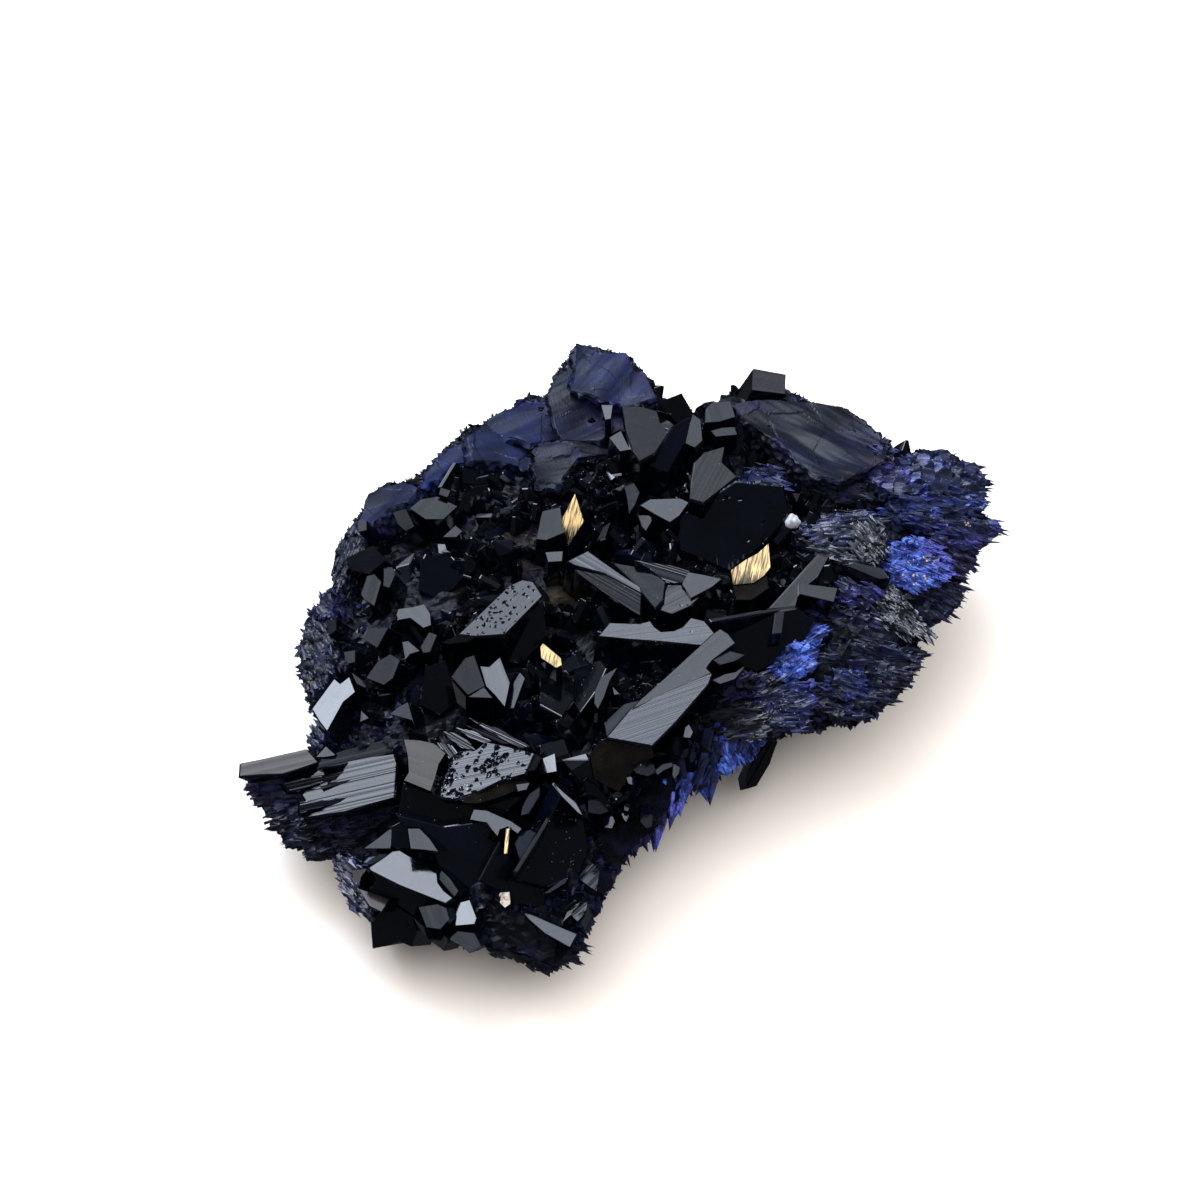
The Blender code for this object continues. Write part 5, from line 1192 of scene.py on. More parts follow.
def make_crust():
    bm = bmesh.new()
    top = [plate_ring(share, climb=climb) for share, climb in TOP_RINGS]
    under = [plate_ring(share, lift=lift) for share, lift in UNDER_RINGS]
    rows = [[bm.verts.new(point) for point in ring] for ring in top + under]
    for inner, outer in zip(rows, rows[1:]):
        for i in range(len(inner)):
            j = (i + 1) % len(inner)
            bm.faces.new((inner[i], inner[j], outer[j], outer[i]))
    crown = bm.verts.new((RIM_MIDDLE.x, RIM_MIDDLE.y, ground_height(RIM_MIDDLE.x, RIM_MIDDLE.y)))
    for i, vert in enumerate(rows[0]):
        bm.faces.new((crown, rows[0][(i + 1) % len(rows[0])], vert))
    bm.faces.new(rows[-1])
    bmesh.ops.recalc_face_normals(bm, faces=bm.faces)
    bmesh.ops.triangulate(bm, faces=bm.faces)
    split_long_edges(bm, CRUST_EDGE, 4, above=0.01 * MM)
    bm.normal_update()
    moves = []
    for vert in bm.verts:
        height = sum(noise.noise(vert.co / (size * MM)) * amount for size, amount in ROUGHENING)
        moves.append(vert.normal * height * MM * min(1, max(0, vert.co.z / MM)))
    for vert, move in zip(bm.verts, moves):
        vert.co += move
    return bm


crust = Gathered()
crust.add_bmesh(make_crust())
crust_corners = crust.corners[0]
crust_x, crust_y = squares_of(crust_corners)
crust.tone = [sum(np.exp(-((crust_x - x) ** 2 + (crust_y - y) ** 2) / reach ** 2)
                  for (x, y), reach in HOLLOWS)]
crust_piece = crust.make("crust", [CRUST])

# %% [markdown]
# ## Prototypes
# The small crystals repeat, so a handful of prototypes is made once, and copies of their corners are
# turned, scaled and moved by arrays. Particles or instances would be lighter, but a copy that is real
# mesh goes wherever the model goes.

# %% prototypes
CHISEL_WIDTH = 0.7          # the tip's width and thickness, as a share of the crystal's
BLOCK_BEVEL = 0.02          # a share of the crystal's length
ROOT_DEPTH = 0.4            # the share of its length that every prototype has below its root


def shape_of(bm):
    """The corners and faces of a mesh, as arrays that copies are made from."""
    bm.verts.index_update()
    shape = (np.array([vert.co[:] for vert in bm.verts]),
             [[vert.index for vert in face.verts] for face in bm.faces])
    bm.free()
    return shape


def crystal_prototype(rng, width, thickness):
    """A crystal one unit long that stands on a buried root and ends in a slanted chisel."""
    bm = bmesh.new()
    points = []
    for z, share in ((-ROOT_DEPTH, 0.8), (rng.uniform(0.5, 0.7), 1.0)):
        for step in range(6):
            angle = math.tau * step / 6 + rng.uniform(-0.15, 0.15)
            points.append(Vector((math.cos(angle) * width * share / 2,
                                  math.sin(angle) * thickness * share / 2, z + rng.uniform(-0.04, 0.04))))
    slope = rng.uniform(-0.35, 0.35)
    for x, y in ((-1, -0.4), (1, -0.4), (1, 0.4), (-1, 0.4)):
        points.append(Vector((x * width * CHISEL_WIDTH / 2, y * thickness * CHISEL_WIDTH / 2,
                              0.95 + slope * x * width * CHISEL_WIDTH / 2 + rng.uniform(-0.03, 0.03))))
    corners = [bm.verts.new(point) for point in points]
    made = bmesh.ops.convex_hull(bm, input=corners, use_existing_faces=False)
    inside = {v for v in made["geom_interior"] if isinstance(v, bmesh.types.BMVert)}
    bmesh.ops.delete(bm, geom=list(inside), context="VERTS")
    bmesh.ops.dissolve_limit(bm, angle_limit=math.radians(4), verts=bm.verts, edges=bm.edges)
    bmesh.ops.bevel(bm, geom=bm.edges[:], offset=BLOCK_BEVEL, segments=1, affect="EDGES",
                    clamp_overlap=True)
    return shape_of(bm)


def splinter_prototype(rng, width, thickness):
    """A splinter one unit long: four corners at its root, three at its waist and one at its point."""
    bm = bmesh.new()
    points = [(x * width / 2, y * thickness / 2, -ROOT_DEPTH)
              for x, y in ((-1, -1), (1, -1), (1, 1), (-1, 1))]
    points += [(-width * 0.6, 0, rng.uniform(0.3, 0.6)), (width * 0.6, 0, rng.uniform(0.3, 0.6)),
               (0, thickness * 0.6, rng.uniform(0.3, 0.6)), (rng.uniform(-0.2, 0.2) * width, 0, 1)]
    bmesh.ops.convex_hull(bm, input=[bm.verts.new(point) for point in points])
    return shape_of(bm)


rng = random.Random(5)
BLOCKS = [crystal_prototype(rng, rng.uniform(0.8, 1.2), rng.uniform(0.5, 0.8)) for _ in range(8)]
SPIKES = [splinter_prototype(rng, rng.uniform(0.4, 0.8), rng.uniform(0.2, 0.4)) for _ in range(8)]
NEEDLES = [splinter_prototype(rng, rng.uniform(0.14, 0.3), rng.uniform(0.1, 0.2)) for _ in range(8)]
print("a block has", len(BLOCKS[0][1]), "faces, a spike", len(SPIKES[0][1]))


# %% placing copies
def turned_axes(direction, spin):
    """Three axes with the third along the direction, turned about it by spin."""
    z = direction.normalized()
    x = z.orthogonal().normalized()
    x.rotate(Quaternion(z, spin))
    return np.array([x[:], z.cross(x)[:], z[:]])


def flat_axes(direction, normal):
    """Three axes with the third along the direction and the second as near the normal as can be."""
    z = direction.normalized()
    x = normal.cross(z).normalized()
    return np.array([x[:], z.cross(x)[:], z[:]])


def place_copy(gathered, shape, root, axes, size, slot=0, tone=0.5, clear_of=()):
    """Adds a turned and scaled copy, unless it would hide a face, and says whether it did."""
    corners, faces = shape
    placed = corners * size @ axes + np.array(root[:])
    if in_the_way(placed, clear_of):
        return False
    placed[:, 2] = np.maximum(placed[:, 2], LOWEST_CRYSTAL * 0.6)
    gathered.add(placed, faces, slot, tone, tip=np.clip(corners[:, 2], 0, 1))
    return True


def leaning(rng, normal, spread):
    """A direction around the normal, up to spread radians off it."""
    around = normal.orthogonal().normalized()
    around.rotate(Quaternion(normal, rng.uniform(0, math.tau)))
    lean = spread * math.sqrt(rng.random())
    return (normal * math.cos(lean) + around * math.sin(lean)).normalized()


# %% [markdown]
# ## Keeping the large faces clear
# A small crystal must not stand in front of a large face. The test follows the sight lines: a point is
# in the way if it falls inside a face's outline on the drawing grid and lies nearer than its plane.

# %% which points are in the way
def sight_faces(forms):
    faces = []
    for form in forms:
        anchor, normal = face_plane(form)
        outline = np.array(form.outline, float)
        faces.append((outline, np.array(anchor[:]), np.array(normal[:]),
                      (*outline.min(0), *outline.max(0))))
    return faces


LARGE_FACES = sight_faces(LARGE)
ALL_FACES = sight_faces(LARGE + LOBES)


def inside_outline(x, y, outline):
    """Which of the squares x, y lie inside the outline, by counting the edges left of each."""
    inside = np.zeros(len(x), bool)
    for (xa, ya), (xb, yb) in zip(outline, np.roll(outline, 1, axis=0)):
        if ya != yb:
            inside ^= ((ya > y) != (yb > y)) & (x < (xb - xa) * (y - ya) / (yb - ya) + xa)
    return inside


def in_the_way(points, faces):
    """Whether any of the points stands in front of one of the faces."""
    points = np.atleast_2d(np.asarray(points, float))
    x, y = squares_of(points)
    for outline, anchor, normal, (left, top, right, bottom) in faces:
        if x.max() < left or x.min() > right or y.max() < top or y.min() > bottom:
            continue
        near = (points - anchor) @ normal > 0
        if near.any() and (inside_outline(x, y, outline) & near).any():
            return True
    return False


# %% [markdown]
# ## Where the small crystals stand
# They stand on the crust between the large ones, a millimetre or two long in the middle of the plate and
# shorter towards its edge. Most lie dark between the large faces. If they were scattered freely, too
# many would flash in the window, so most of those that would mirror it are thrown away.

# %% which small crystals glint
GLINTING_ANGLE = math.radians(21)
GLINTING_SHARE = 0.08


def shape_normals(shape):
    """The normals of a prototype's larger faces."""
    corners, faces = shape
    normals = []
    for face in faces:
        a, b, c = (corners[face[i]] for i in (0, 1, 2))
        normal = np.cross(b - a, c - a)
        if np.linalg.norm(normal) > 0.01:
            normals.append(normal / np.linalg.norm(normal))
    return np.array(normals)


BLOCK_NORMALS = {id(shape): shape_normals(shape) for shape in BLOCKS}
SHINING_NORMAL = np.array(face_normal(0, 0)[:])


def glints(shape, direction, spin):
    """Whether one of the copy's faces would lie close to the shared plane, where it mirrors the window."""
    turned = BLOCK_NORMALS[id(shape)] @ turned_axes(direction, spin)
    return (turned @ SHINING_NORMAL).max() > math.cos(GLINTING_ANGLE)


# %% scatter the small crystals
SMALL_TRIES = 3000
SMALL_REACH = 0.88                  # they cover this share of the plate's outline
SMALL_SIZES = (0.9, 2.4)            # in mm
EDGE_FROM, EDGE_SIZE = 0.75, 0.7    # further out than this share they are shorter
CLIMB_FROM, CLIMB_FALL = 0.6, 1.7   # outside this share the ground falls towards the edge
SMALL_SPREAD = 1.25                 # how far they lean, in radians
rng = random.Random(21)
small = Gathered()
kept = 0
for _ in range(SMALL_TRIES):
    share = SMALL_REACH * math.sqrt(rng.random())
    edge = RIM[rng.randrange(len(RIM))]
    x, y = pulled_in(edge, share)
    size = rng.uniform(*SMALL_SIZES) * MM * (1 if share < EDGE_FROM else EDGE_SIZE)
    climb = 1 if share < CLIMB_FROM else max(0.3, 1 - (share - CLIMB_FROM) * CLIMB_FALL)
    ground = edge.z + (ground_height(x, y) - edge.z) * climb
    root = Vector((x, y, ground - 0.15 * size))
    (across,), (down,) = squares_of(root)
    if any(math.dist((across, down), middle) < 0.9 * reach for middle, reach in HOLLOWS):
        continue
    direction = leaning(rng, Vector((0, 0, 1)), SMALL_SPREAD)
    shape, spin = rng.choice(BLOCKS), rng.uniform(0, math.tau)
    if glints(shape, direction, spin) and rng.random() > GLINTING_SHARE:
        continue
    kept += place_copy(small, shape, root, turned_axes(direction, spin), size, tone=rng.uniform(0.1, 1),
                       clear_of=ALL_FACES)
print(kept, "small crystals kept of", SMALL_TRIES)
small_crystals = small.make("small_crystals", [GLASSY])

# %% [markdown]
# ## Building a lobe
# A lobe is hundreds of thin blades that grew side by side. Modelling each blade would cost far more
# triangles, so a lobe's body is split until its edges are finer than its fibres, then raised and sunk:
# by a patchwork of small flat facets, each tilted its own way, by low ridges along the fibres and by a
# wide swell. Some lobes have a satin sheen, and the lobes at the back are smoother and frosted.

# %% the relief of a lobe
LOBE_EDGE = 0.18 * MM               # no edge of a lobe's upper part stays longer than this
LOBE_INSET = 0.2 * MM               # the body keeps this far inside its outline, which the teeth reach
LOBE_CHAMFER, LOBE_FLARE = 0.12 * MM, -0.12
LOWEST_LOBE = 0.3 * MM
FIBRE_LENGTH, FIBRE_WIDTH, FIBRE_HEIGHT = 2.0 * MM, 0.34 * MM, 0.12 * MM
SWELL_LENGTH, SWELL_WIDTH, SWELL_HEIGHT = 2.2 * MM, 0.9 * MM, 0.6 * MM
RAGGED, NOTCH = 0.3 * MM, 0.42 * MM
ROUGH_FACET, ROUGH_TILT, SATIN_TILT = 0.75 * MM, 1.0, 0.5
SMOOTH_FACET, SMOOTH_TILT = 2.4 * MM, 0.07
SMOOTH_SWELL, SMOOTH_FIBRE = 2.2, 0.3       # a smooth lobe's swell is wider and its fibres are lower
ROUGH_TONES, SMOOTH_TONES = 0.4, 0.15       # how much the tone changes from facet to facet
SMOOTH_NAMES = {"peak", "peak_shoulder", "back_slope", "back_left_rim", "back_left_slope", "left_knob",
                "left_shoulder", "plate_back"}
SATIN_NAMES = {"inner_grey", "pale_streak", "grey_tongue", "violet_shelf", "grey_shelf", "left_druse",
               "front_face"}
LOBE_FINISHES = [DRUSE, SATIN, FROSTED]


def lobe_slot(lobe):
    finish = FROSTED if lobe.name in SMOOTH_NAMES else SATIN if lobe.name in SATIN_NAMES else DRUSE
    return LOBE_FINISHES.index(finish)


def fibre_frame(lobe, normal):
    """The directions along and across a lobe's fibres, within its face."""
    bearing = math.radians(lobe.fibre)
    along = Vector((math.cos(bearing), math.sin(bearing), 0))
    along = (along - normal * along.dot(normal)).normalized()
    return along, normal.cross(along)


def facet_at(point, size, tilt):
    """The height at a point of a patchwork of tilted facets, and a number of the facet's own."""
    _, cells = noise.voronoi(point / size)
    lean = noise.noise_vector(cells[0] * 7.7)
    return (point - cells[0] * size).dot(lean) * tilt, lean.x


# %% the body of a lobe
def drop_flaps(bm):
    """Takes out triangles that lie back to back on the same three corners."""
    flaps = [None]
    while flaps:
        shared = {}
        for face in bm.faces:
            shared.setdefault(frozenset(face.verts), []).append(face)
        flaps = [face for pair in shared.values() for face in pair[:len(pair) // 2 * 2]]
        bmesh.ops.delete(bm, geom=flaps, context="FACES")


def lobe_body(lobe):
    bm = bmesh.new()
    rings = body_rings(lobe, LOBE_CHAMFER, LOBE_FLARE)
    middle = sum(rings[0], Vector()) / len(rings[0])
    rings = [[p + (middle - p).normalized() * LOBE_INSET for p in ring] for ring in rings]
    loft(bm, rings)
    bmesh.ops.triangulate(bm, faces=bm.faces)
    lowest = min(point.z for point in rings[0]) - 0.3 * lobe.depth * MM
    split_long_edges(bm, LOBE_EDGE, 6, above=lowest)
    drop_flaps(bm)
    return bm


def roughen_lobe(bm, lobe, normal):
    """Moves the lobe's corners and returns a tone for each."""
    middle = sum((vert.co for vert in bm.verts), Vector()) / len(bm.verts)
    along, across = fibre_frame(lobe, normal)
    smooth = lobe.name in SMOOTH_NAMES
    size, tilt = (SMOOTH_FACET, SMOOTH_TILT) if smooth else (ROUGH_FACET, ROUGH_TILT)
    if lobe.name in SATIN_NAMES:
        tilt = SATIN_TILT
    fibre_height = FIBRE_HEIGHT * (SMOOTH_FIBRE if smooth else 1)
    wide = SMOOTH_SWELL if smooth else 1
    bm.normal_update()
    moves, tones = [], []
    for vert in bm.verts:
        from_middle = vert.co - middle
        u, v = from_middle.dot(along), from_middle.dot(across)
        facet, number = facet_at(vert.co, size, tilt)
        fibre = noise.noise(Vector((u / FIBRE_LENGTH, v / FIBRE_WIDTH, lobe.height)))
        swell = noise.noise(Vector((u / SWELL_LENGTH / wide, v / SWELL_WIDTH / wide, lobe.height * 3)))
        jag = noise.noise(vert.co / NOTCH)
        facing = max(0, vert.normal.dot(normal))
        sideways = vert.normal - normal * vert.normal.dot(normal)
        sunk = (swell if smooth else abs(swell)) * SWELL_HEIGHT
        moves.append(normal * (facet + fibre * fibre_height - sunk) * facing
                     + sideways * (0.5 * fibre + 1.5 * jag) * RAGGED * (1 - facing))
        tones.append(min(1, max(0, lobe.blue + (SMOOTH_TONES if smooth else ROUGH_TONES) * number)))
    for vert, move in zip(bm.verts, moves):
        vert.co += move
        vert.co.z = max(vert.co.z, LOWEST_LOBE)
    return tones


# %% build the lobes
lobe_triangles, lobe_gatherings, lobe_pieces = [], [], []     # rough upper triangles are kept for the nap
for group, members in LOBE_GROUPS.items():
    gathered = Gathered()
    for lobe in members:
        bm, normal = lobe_body(lobe), face_plane(lobe)[1]
        tones = roughen_lobe(bm, lobe, normal)
        bmesh.ops.recalc_face_normals(bm, faces=bm.faces)
        for triangle in bm.faces:
            if triangle.normal.dot(normal) > 0.3 and lobe.name not in SMOOTH_NAMES:
                corners = [vert.co.copy() for vert in triangle.verts]
                lobe_triangles.append((corners, triangle.normal.copy(), triangle.calc_area(), lobe))
        gathered.add_bmesh(bm, slot=lobe_slot(lobe), tone=tones)
    lobe_gatherings.append(gathered)
    lobe_pieces.append(gathered.make(group, LOBE_FINISHES))

# %% [markdown]
# ## Nap and teeth
# Thin needles lie along the fibres of every rough lobe like the nap of a cloth, and short teeth stand
# out along its edge. A hair system would be quicker, but hair isn't mesh and would be lost when the
# model goes elsewhere, so both are copies of the splinters.

# %% the nap
NEEDLE_COUNT = 6000
NEEDLE_SIZES = (0.35, 0.95)         # in mm
NEEDLE_SPREAD, NEEDLE_RISE = 14, 7  # how far they turn off the fibres and up from the face, in degrees
areas = np.array([area for _, _, area, _ in lobe_triangles])


def near(tone, rng, by):
    """A tone that differs from the one given by chance, at most by this much."""
    return min(1, max(0, tone + rng.uniform(-by, by)))


def in_triangle(a, b, c, rng):
    """A place in a triangle, each as likely as the next."""
    u, v = sorted((rng.random(), rng.random()))
    return a * u + b * (v - u) + c * (1 - v)


def lay_nap(gathered, seed):
    """Lays needles over the rough lobes, nearly flat and along the fibres."""
    rng = random.Random(seed)
    picks = np.random.default_rng(seed).choice(len(lobe_triangles), NEEDLE_COUNT, p=areas / areas.sum())
    for index in picks:
        (a, b, c), normal, _, lobe = lobe_triangles[index]
        root = in_triangle(a, b, c, rng)
        along, across = fibre_frame(lobe, face_plane(lobe)[1])
        turn = math.radians(rng.uniform(-NEEDLE_SPREAD, NEEDLE_SPREAD))
        lie = along * math.cos(turn) + across * math.sin(turn)
        lie = lie * rng.choice((1, 1, -1))      # two of three point outwards
        lie += normal * math.tan(math.radians(rng.uniform(0, NEEDLE_RISE)))
        size = rng.uniform(*NEEDLE_SIZES) * MM
        place_copy(gathered, rng.choice(NEEDLES), root - normal * 0.06 * size,
                   flat_axes(lie, leaning(rng, normal, 0.4)), size,
                   slot=lobe_slot(lobe), tone=near(lobe.blue, rng, 0.12),
                   clear_of=LARGE_FACES)


nap = Gathered()
lay_nap(nap, 9)
lobe_nap = nap.make("lobe_nap", [DRUSE, SATIN])

# %% teeth along the edges of the lobes
TOOTH_SPACING = 0.28 * MM
TOOTH_SIZES, TOOTH_DEPTHS = (0.25, 0.42), (0.05, 0.7)       # in mm, the depth measured from the face
rng = random.Random(51)
teeth = Gathered()
for lobe in LOBES:
    if lobe.name in SMOOTH_NAMES:
        continue
    corners, normal = face_corners(lobe)
    middle = sum(corners, Vector()) / len(corners)
    along, _ = fibre_frame(lobe, normal)
    for a, b in zip(corners, corners[1:] + corners[:1]):
        for _ in range(int((b - a).length / TOOTH_SPACING)):
            place = a.lerp(b, rng.random())
            out = (place - middle).normalized()
            root = place - out * LOBE_INSET * 1.6 - normal * rng.uniform(*TOOTH_DEPTHS) * MM
            lie = out + along * math.copysign(0.7, along.dot(out)) + leaning(rng, normal, 1.5) * 0.35
            place_copy(teeth, rng.choice(SPIKES), root, turned_axes(lie, rng.uniform(0, math.tau)),
                       rng.uniform(*TOOTH_SIZES) * MM, tone=near(lobe.blue, rng, 0.2),
                       clear_of=LARGE_FACES)
edge_teeth = teeth.make("edge_teeth", [DRUSE])

# %% [markdown]
# ## The fringe
# The bare edge of the crust is set with thousands of tiny dark crystals, finer along the back. Points
# spread evenly round the outline would leave its slopes bare, so the crystals are scattered over the
# crust's own triangles by area, and stand out from it.

# %% scatter the fringe
FRINGE_CRYSTALS = 9000
FRINGE_SIZES, BACK_SIZE = (0.25, 0.65), 0.55    # in mm, and how much finer they are along the back
FRINGE_FROM, FRINGE_OVER = 0.72, 0.15           # they thicken from this share of the outline outwards
FRINGE_LOWEST = 0.6 * MM
triangles = np.array(crust.faces)
a, b, c = (crust_corners[triangles[:, i]] for i in range(3))
cross = np.cross(b - a, c - a)
areas = np.linalg.norm(cross, axis=1) / 2
centres = (a + b + c) / 3
shares = edge_share(centres[:, 0], centres[:, 1])
weights = areas * np.clip((shares - FRINGE_FROM) / FRINGE_OVER, 0, 1) * (centres[:, 2] > FRINGE_LOWEST)
picks = np.random.default_rng(3).choice(len(triangles), FRINGE_CRYSTALS, p=weights / weights.sum())
rng = random.Random(31)
fringe = Gathered()
for index in picks:
    normal = Vector(cross[index]).normalized()
    root = in_triangle(a[index], b[index], c[index], rng)
    axes = turned_axes(leaning(rng, normal, 1.2), rng.uniform(0, math.tau))
    size = rng.uniform(*FRINGE_SIZES) * MM * (BACK_SIZE if root[1] > RIM_MIDDLE.y else 1)
    place_copy(fringe, rng.choice(SPIKES), root, axes, size, tone=rng.uniform(0, 0.5), clear_of=ALL_FACES)
blue_fringe = fringe.make("blue_fringe", [DRUSE])

# %% [markdown]
# ## Prongs
# Bundles of slender blue blades hang from the front edge. They stand out against the paper, so they
# aren't left to chance: each is laid out by the square of its root and of its tip, the height of its tip
# and its width in mm, and how blue it is.

# %% prongs
Prong = namedtuple("Prong", "root tip height width blue")
PRONGS = [
    ((748, 738), (742, 768), 5.6, 0.7, 0.7), ((735, 745), (732, 764), 5.6, 0.7, 0.5),
    ((727, 744), (727, 773), 5.4, 0.8, 1.0), ((718, 752), (716, 770), 5.4, 0.6, 0.6),
    ((752, 736), (756, 760), 5.6, 0.6, 0.7), ((706, 762), (708, 807), 4.8, 1.0, 0.8),
    ((698, 764), (694, 798), 5.0, 1.1, 0.5), ((690, 768), (686, 796), 5.0, 0.9, 0.5),
    ((684, 778), (678, 818), 4.6, 0.7, 0.9), ((676, 784), (668, 831), 4.4, 1.0, 1.0),
    ((668, 786), (660, 812), 4.6, 1.1, 0.9), ((660, 794), (652, 853), 4.0, 0.6, 0.9),
    ((652, 806), (656, 833), 4.2, 0.7, 0.5), ((646, 812), (646, 846), 4.0, 0.7, 0.8),
    ((640, 822), (636, 846), 4.0, 0.8, 0.6), ((630, 832), (634, 859), 3.7, 0.7, 0.9),
    ((622, 838), (622, 862), 3.7, 0.7, 0.6), ((614, 848), (618, 870), 3.7, 0.6, 0.4),
    ((608, 858), (610, 884), 3.8, 0.7, 0.3), ((602, 880), (608, 896), 3.6, 0.6, 0.8),
    ((592, 900), (597, 914), 3.6, 0.5, 0.4), ((586, 916), (590, 936), 3.6, 0.6, 0.3),
]
NEEDLES_A_PRONG = 14
ROOT_RISE = 1.3                     # in mm, how far the roots lie above the tips
rng = random.Random(41)
prongs = Gathered()
for prong in [Prong(*facts) for facts in PRONGS]:
    tip = sight_line_at(prong.tip, prong.height * MM)
    root = sight_line_at(prong.root, (prong.height + ROOT_RISE) * MM)
    for _ in range(NEEDLES_A_PRONG):
        start = root + Vector([rng.uniform(-0.8, 0.8) * MM * prong.width for _ in range(3)])
        reach = (tip - start) * rng.uniform(0.4, 1)
        axes = flat_axes(reach, TO_VIEWER + leaning(rng, TO_VIEWER, 1.0))
        place_copy(prongs, rng.choice(NEEDLES), start, axes, reach.length,
                   tone=near(prong.blue * 0.85, rng, 0.2))
edge_prongs = prongs.make("edge_prongs", [DRUSE])

# %% [markdown]
# ## Pale grains
# Two milky blobs, cream grains, golden grains in the painted gold reflection and a dusting of pale specks
# lie on the crystals; milky specks on the pitted face are painted glints. A physics run could let them
# fall, but each is simply dropped along a sight line onto whatever it meets first.

# %% where the pale grains lie
# a spot: its square, how many squares it reaches, how many grains, their sizes in mm, and their finish
GRAIN_FINISHES = [MILKY_AND_GLINT_SPECKS, CREAM, PAINTED_GOLD, DUSTY]
Spot = namedtuple("Spot", "square reach count smallest largest slot")
SPOTS = [
    ((792, 524), 0, 1, 0.5, 0.5, 0), ((765, 592), 0, 1, 0.32, 0.32, 0),
    ((919, 572), 16, 26, 0.04, 0.1, 1), ((908, 548), 14, 16, 0.02, 0.045, 3),
    ((969, 522), 4, 10, 0.05, 0.1, 1), ((896, 600), 12, 26, 0.03, 0.07, 3),
    ((780, 710), 22, 50, 0.02, 0.04, 0), ((740, 715), 16, 12, 0.02, 0.035, 3),
    ((505, 897), 6, 12, 0.04, 0.09, 1), ((310, 684), 3, 4, 0.05, 0.09, 2),
    # the milky specks at (456, 788) are painted white glints on the pitted face
    ((456, 788), 12, 12, 0.03, 0.08, 0), ((500, 770), 18, 10, 0.02, 0.05, 3),
    ((840, 520), 14, 10, 0.02, 0.035, 3), ((640, 690), 60, 50, 0.015, 0.03, 3),
    ((620, 600), 60, 40, 0.015, 0.03, 3), ((560, 850), 40, 40, 0.015, 0.03, 3),
    ((450, 800), 60, 24, 0.015, 0.03, 3), ((660, 470), 60, 30, 0.015, 0.03, 3),
]


# %% drop the pale grains
CLEAR_HEIGHT = 40 * MM      # well above the specimen


def pebble_prototype(rng, subdivisions, roughness):
    bm = bmesh.new()
    bmesh.ops.create_icosphere(bm, subdivisions=subdivisions, radius=1)
    offset = Vector((rng.uniform(0, 50), 0, 0))
    for vert in bm.verts:
        vert.co *= 1 + roughness * noise.noise(vert.co * 1.3 + offset)
    return shape_of(bm)


def tree_of(gatherings):
    """A tree that finds where a ray meets any of the bodies."""
    corners, faces, count = [], [], 0
    for gathered in gatherings:
        corners.extend(np.concatenate(gathered.corners).tolist())
        faces.extend([[i + count for i in face] for face in gathered.faces])
        count = len(corners)
    return BVHTree.FromPolygons(corners, faces)


rng = random.Random(61)
GRAIN_SHAPES = [pebble_prototype(rng, 1, 0.5) for _ in range(6)]
BLOB_SHAPE = pebble_prototype(rng, 5, 0.25)
upper_tree = tree_of([large, small, crust, *lobe_gatherings])
pale = Gathered()
for spot in [Spot(*facts) for facts in SPOTS]:
    for _ in range(spot.count):
        bearing, reach = rng.uniform(0, math.tau), spot.reach * math.sqrt(rng.random())
        square = (spot.square[0] + reach * math.cos(bearing), spot.square[1] + reach * math.sin(bearing))
        place, normal, _, _ = upper_tree.ray_cast(sight_line_at(square, CLEAR_HEIGHT), -TO_VIEWER)
        if place is None or normal.z < 0.2:
            continue
        size = rng.uniform(spot.smallest, spot.largest) * MM
        shape = BLOB_SHAPE if spot.count == 1 else rng.choice(GRAIN_SHAPES)
        place_copy(pale, shape, place + normal * 0.4 * size, turned_axes(normal, rng.uniform(0, math.tau)),
                   size, slot=spot.slot)
pale_grains = pale.make("pale_grains", GRAIN_FINISHES)

# %% [markdown]
# ## One specimen
# The real plate is one grown thing. Joining the pieces would hide which is which, so they stay apart,
# all ride on the one body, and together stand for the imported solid.

# %% ride and replace
PIECES = [large_crystals, crust_piece, small_crystals, *lobe_pieces, lobe_nap, edge_teeth, blue_fringe,
          edge_prongs, pale_grains]
for piece in PIECES:
    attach(piece, "root")
    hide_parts(NODE)

# %% [markdown]
# ## Paper, light and camera
# The specimen lies on warm white paper under one soft, bright window behind it and to its left. The
# window is a smooth glow in the world rather than a lamp with an edge, so each face takes its
# brightness from how far it turns away from it. A very wide, warm lamp overhead, a little to the back,
# stands for the room's walls and ceiling, whitens the paper and keeps the shadow soft. Mirror faces see
# neither that lamp nor the paper, as if black cards stood around the stone, which is how dark minerals
# are often shown.

# %% the paper
PAPER_CLOUD = 4 * MM
PAPER_REACH = 1.5           # in metres, from the specimen to each side


def paper():
    """Uncoated paper gives the eye an even, matt, warm white."""
    material, tree, shader = new_material("warm_white_paper", Roughness=0.9)
    place = add_node(tree, "ShaderNodeTexCoord").outputs["Object"]
    fibres = add_node(tree, "ShaderNodeTexNoise", inputs={"Vector": place, "Scale": 1 / PAPER_CLOUD})
    tree.links.new(ramp(tree, fibres.outputs["Fac"], [(0.3, "#FAF7F3"), (0.7, "#FCF9F5")]),
                   shader.inputs["Base Color"])
    shader.inputs["Specular IOR Level"].default_value = 0.1
    return material


bm = bmesh.new()
bmesh.ops.create_grid(bm, x_segments=1, y_segments=1, size=PAPER_REACH)
paper_mesh = bpy.data.meshes.new("paper")
bm.to_mesh(paper_mesh)
bm.free()
paper_mesh.materials.append(paper())
paper_sheet = bpy.data.objects.new("paper", paper_mesh)
paper_sheet.visible_glossy = False
bpy.context.scene.collection.objects.link(paper_sheet)

# %% the window and the room
WINDOW_DIRECTION = Vector((-0.30, 0.60, 0.74)).normalized()
WINDOW_SPREAD = math.radians(19)
WINDOW_RADIANCE = 9.5
ROOM_RADIANCE = 0.05

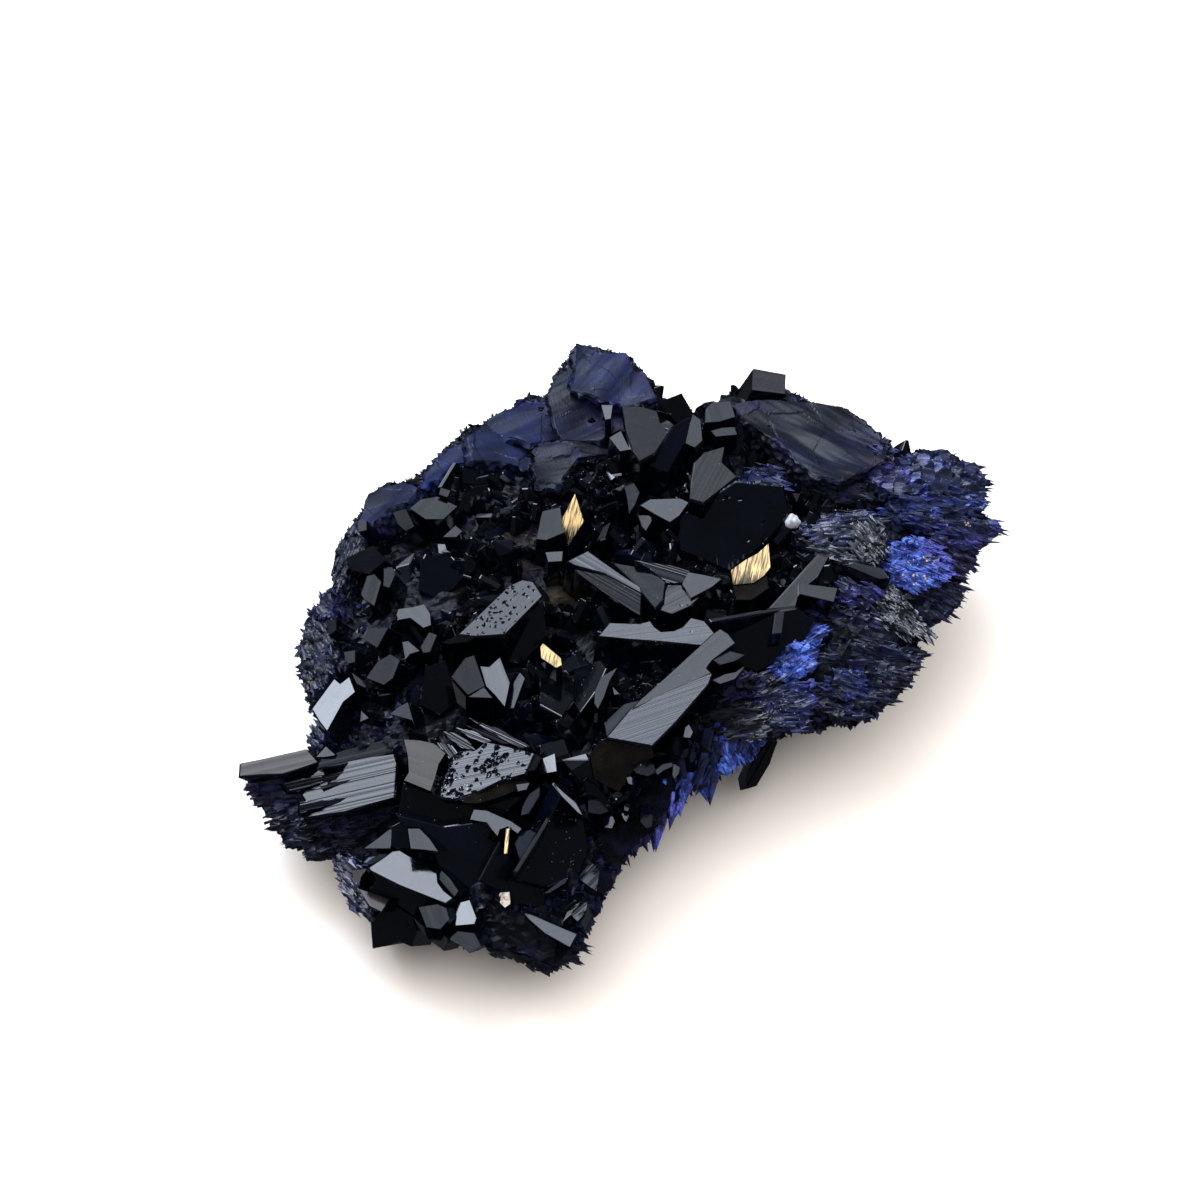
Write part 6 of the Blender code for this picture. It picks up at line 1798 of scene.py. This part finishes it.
world = bpy.data.worlds.new("studio")
bpy.context.scene.world = world
world.use_nodes = True
tree = world.node_tree
background = tree.nodes["Background"]
direction = add_node(tree, "ShaderNodeTexCoord").outputs["Generated"]
cosine = add_node(tree, "ShaderNodeVectorMath", {"operation": "DOT_PRODUCT"},
                  {0: direction, 1: WINDOW_DIRECTION[:]}).outputs["Value"]
angle = add_node(tree, "ShaderNodeMath", {"operation": "ARCCOSINE"}, {0: cosine}).outputs[0]
scaled = add_node(tree, "ShaderNodeMath", {"operation": "DIVIDE"}, {0: angle, 1: WINDOW_SPREAD}).outputs[0]
squared = add_node(tree, "ShaderNodeMath", {"operation": "MULTIPLY"}, {0: scaled, 1: scaled}).outputs[0]
falling = add_node(tree, "ShaderNodeMath", {"operation": "MULTIPLY"}, {0: squared, 1: -1.0}).outputs[0]
glow = add_node(tree, "ShaderNodeMath", {"operation": "EXPONENT"}, {0: falling}).outputs[0]
strength = add_node(tree, "ShaderNodeMath", {"operation": "MULTIPLY_ADD"},
                    {0: glow, 1: WINDOW_RADIANCE, 2: ROOM_RADIANCE}).outputs[0]
tree.links.new(strength, background.inputs["Strength"])
background.inputs["Color"].default_value = linear("#E4EEFF")
print("window, of the room's brightness:", round(WINDOW_RADIANCE / ROOM_RADIANCE))

# %% the warm fill
FILL_STRENGTH = 5.05
FILL_WIDTH = math.radians(135)      # as wide as most of the sky, so that it casts hardly any edge
FILL_LEAN = math.radians(-14)       # from overhead, a little to the back

fill_data = bpy.data.lights.new("warm_fill", "SUN")
fill_data.energy = FILL_STRENGTH
fill_data.angle = FILL_WIDTH
fill_data.color = linear("#FFF8F3")[:3]
fill = bpy.data.objects.new("warm_fill", fill_data)
fill.rotation_euler = (FILL_LEAN, 0, 0)
fill.visible_glossy = False
bpy.context.scene.collection.objects.link(fill)

# %% the camera
CAMERA_DISTANCE = 3.0               # a long lens from afar keeps the sight lines nearly parallel
FRAME_SQUARES = 1200
FRAME_MIDDLE = (600, 600)
FRAMED_HEIGHT = 13 * MM             # the squares fill the frame truly at this height above the paper

target = sight_line_at(FRAME_MIDDLE, FRAMED_HEIGHT)
camera_data = bpy.data.cameras.new("camera")
camera_data.lens = camera_data.sensor_width * CAMERA_DISTANCE / (FRAME_SQUARES * GRID_SQUARE)
camera_data.clip_end = 10
camera = bpy.data.objects.new("camera", camera_data)
bpy.context.scene.collection.objects.link(camera)
camera.location = target + TO_VIEWER * CAMERA_DISTANCE
camera.rotation_euler = (math.pi / 2 - VIEW_ELEVATION, 0, 0)
bpy.context.scene.camera = camera
bpy.context.scene.view_settings.view_transform = "Standard"
print("lens, mm:", round(camera_data.lens))
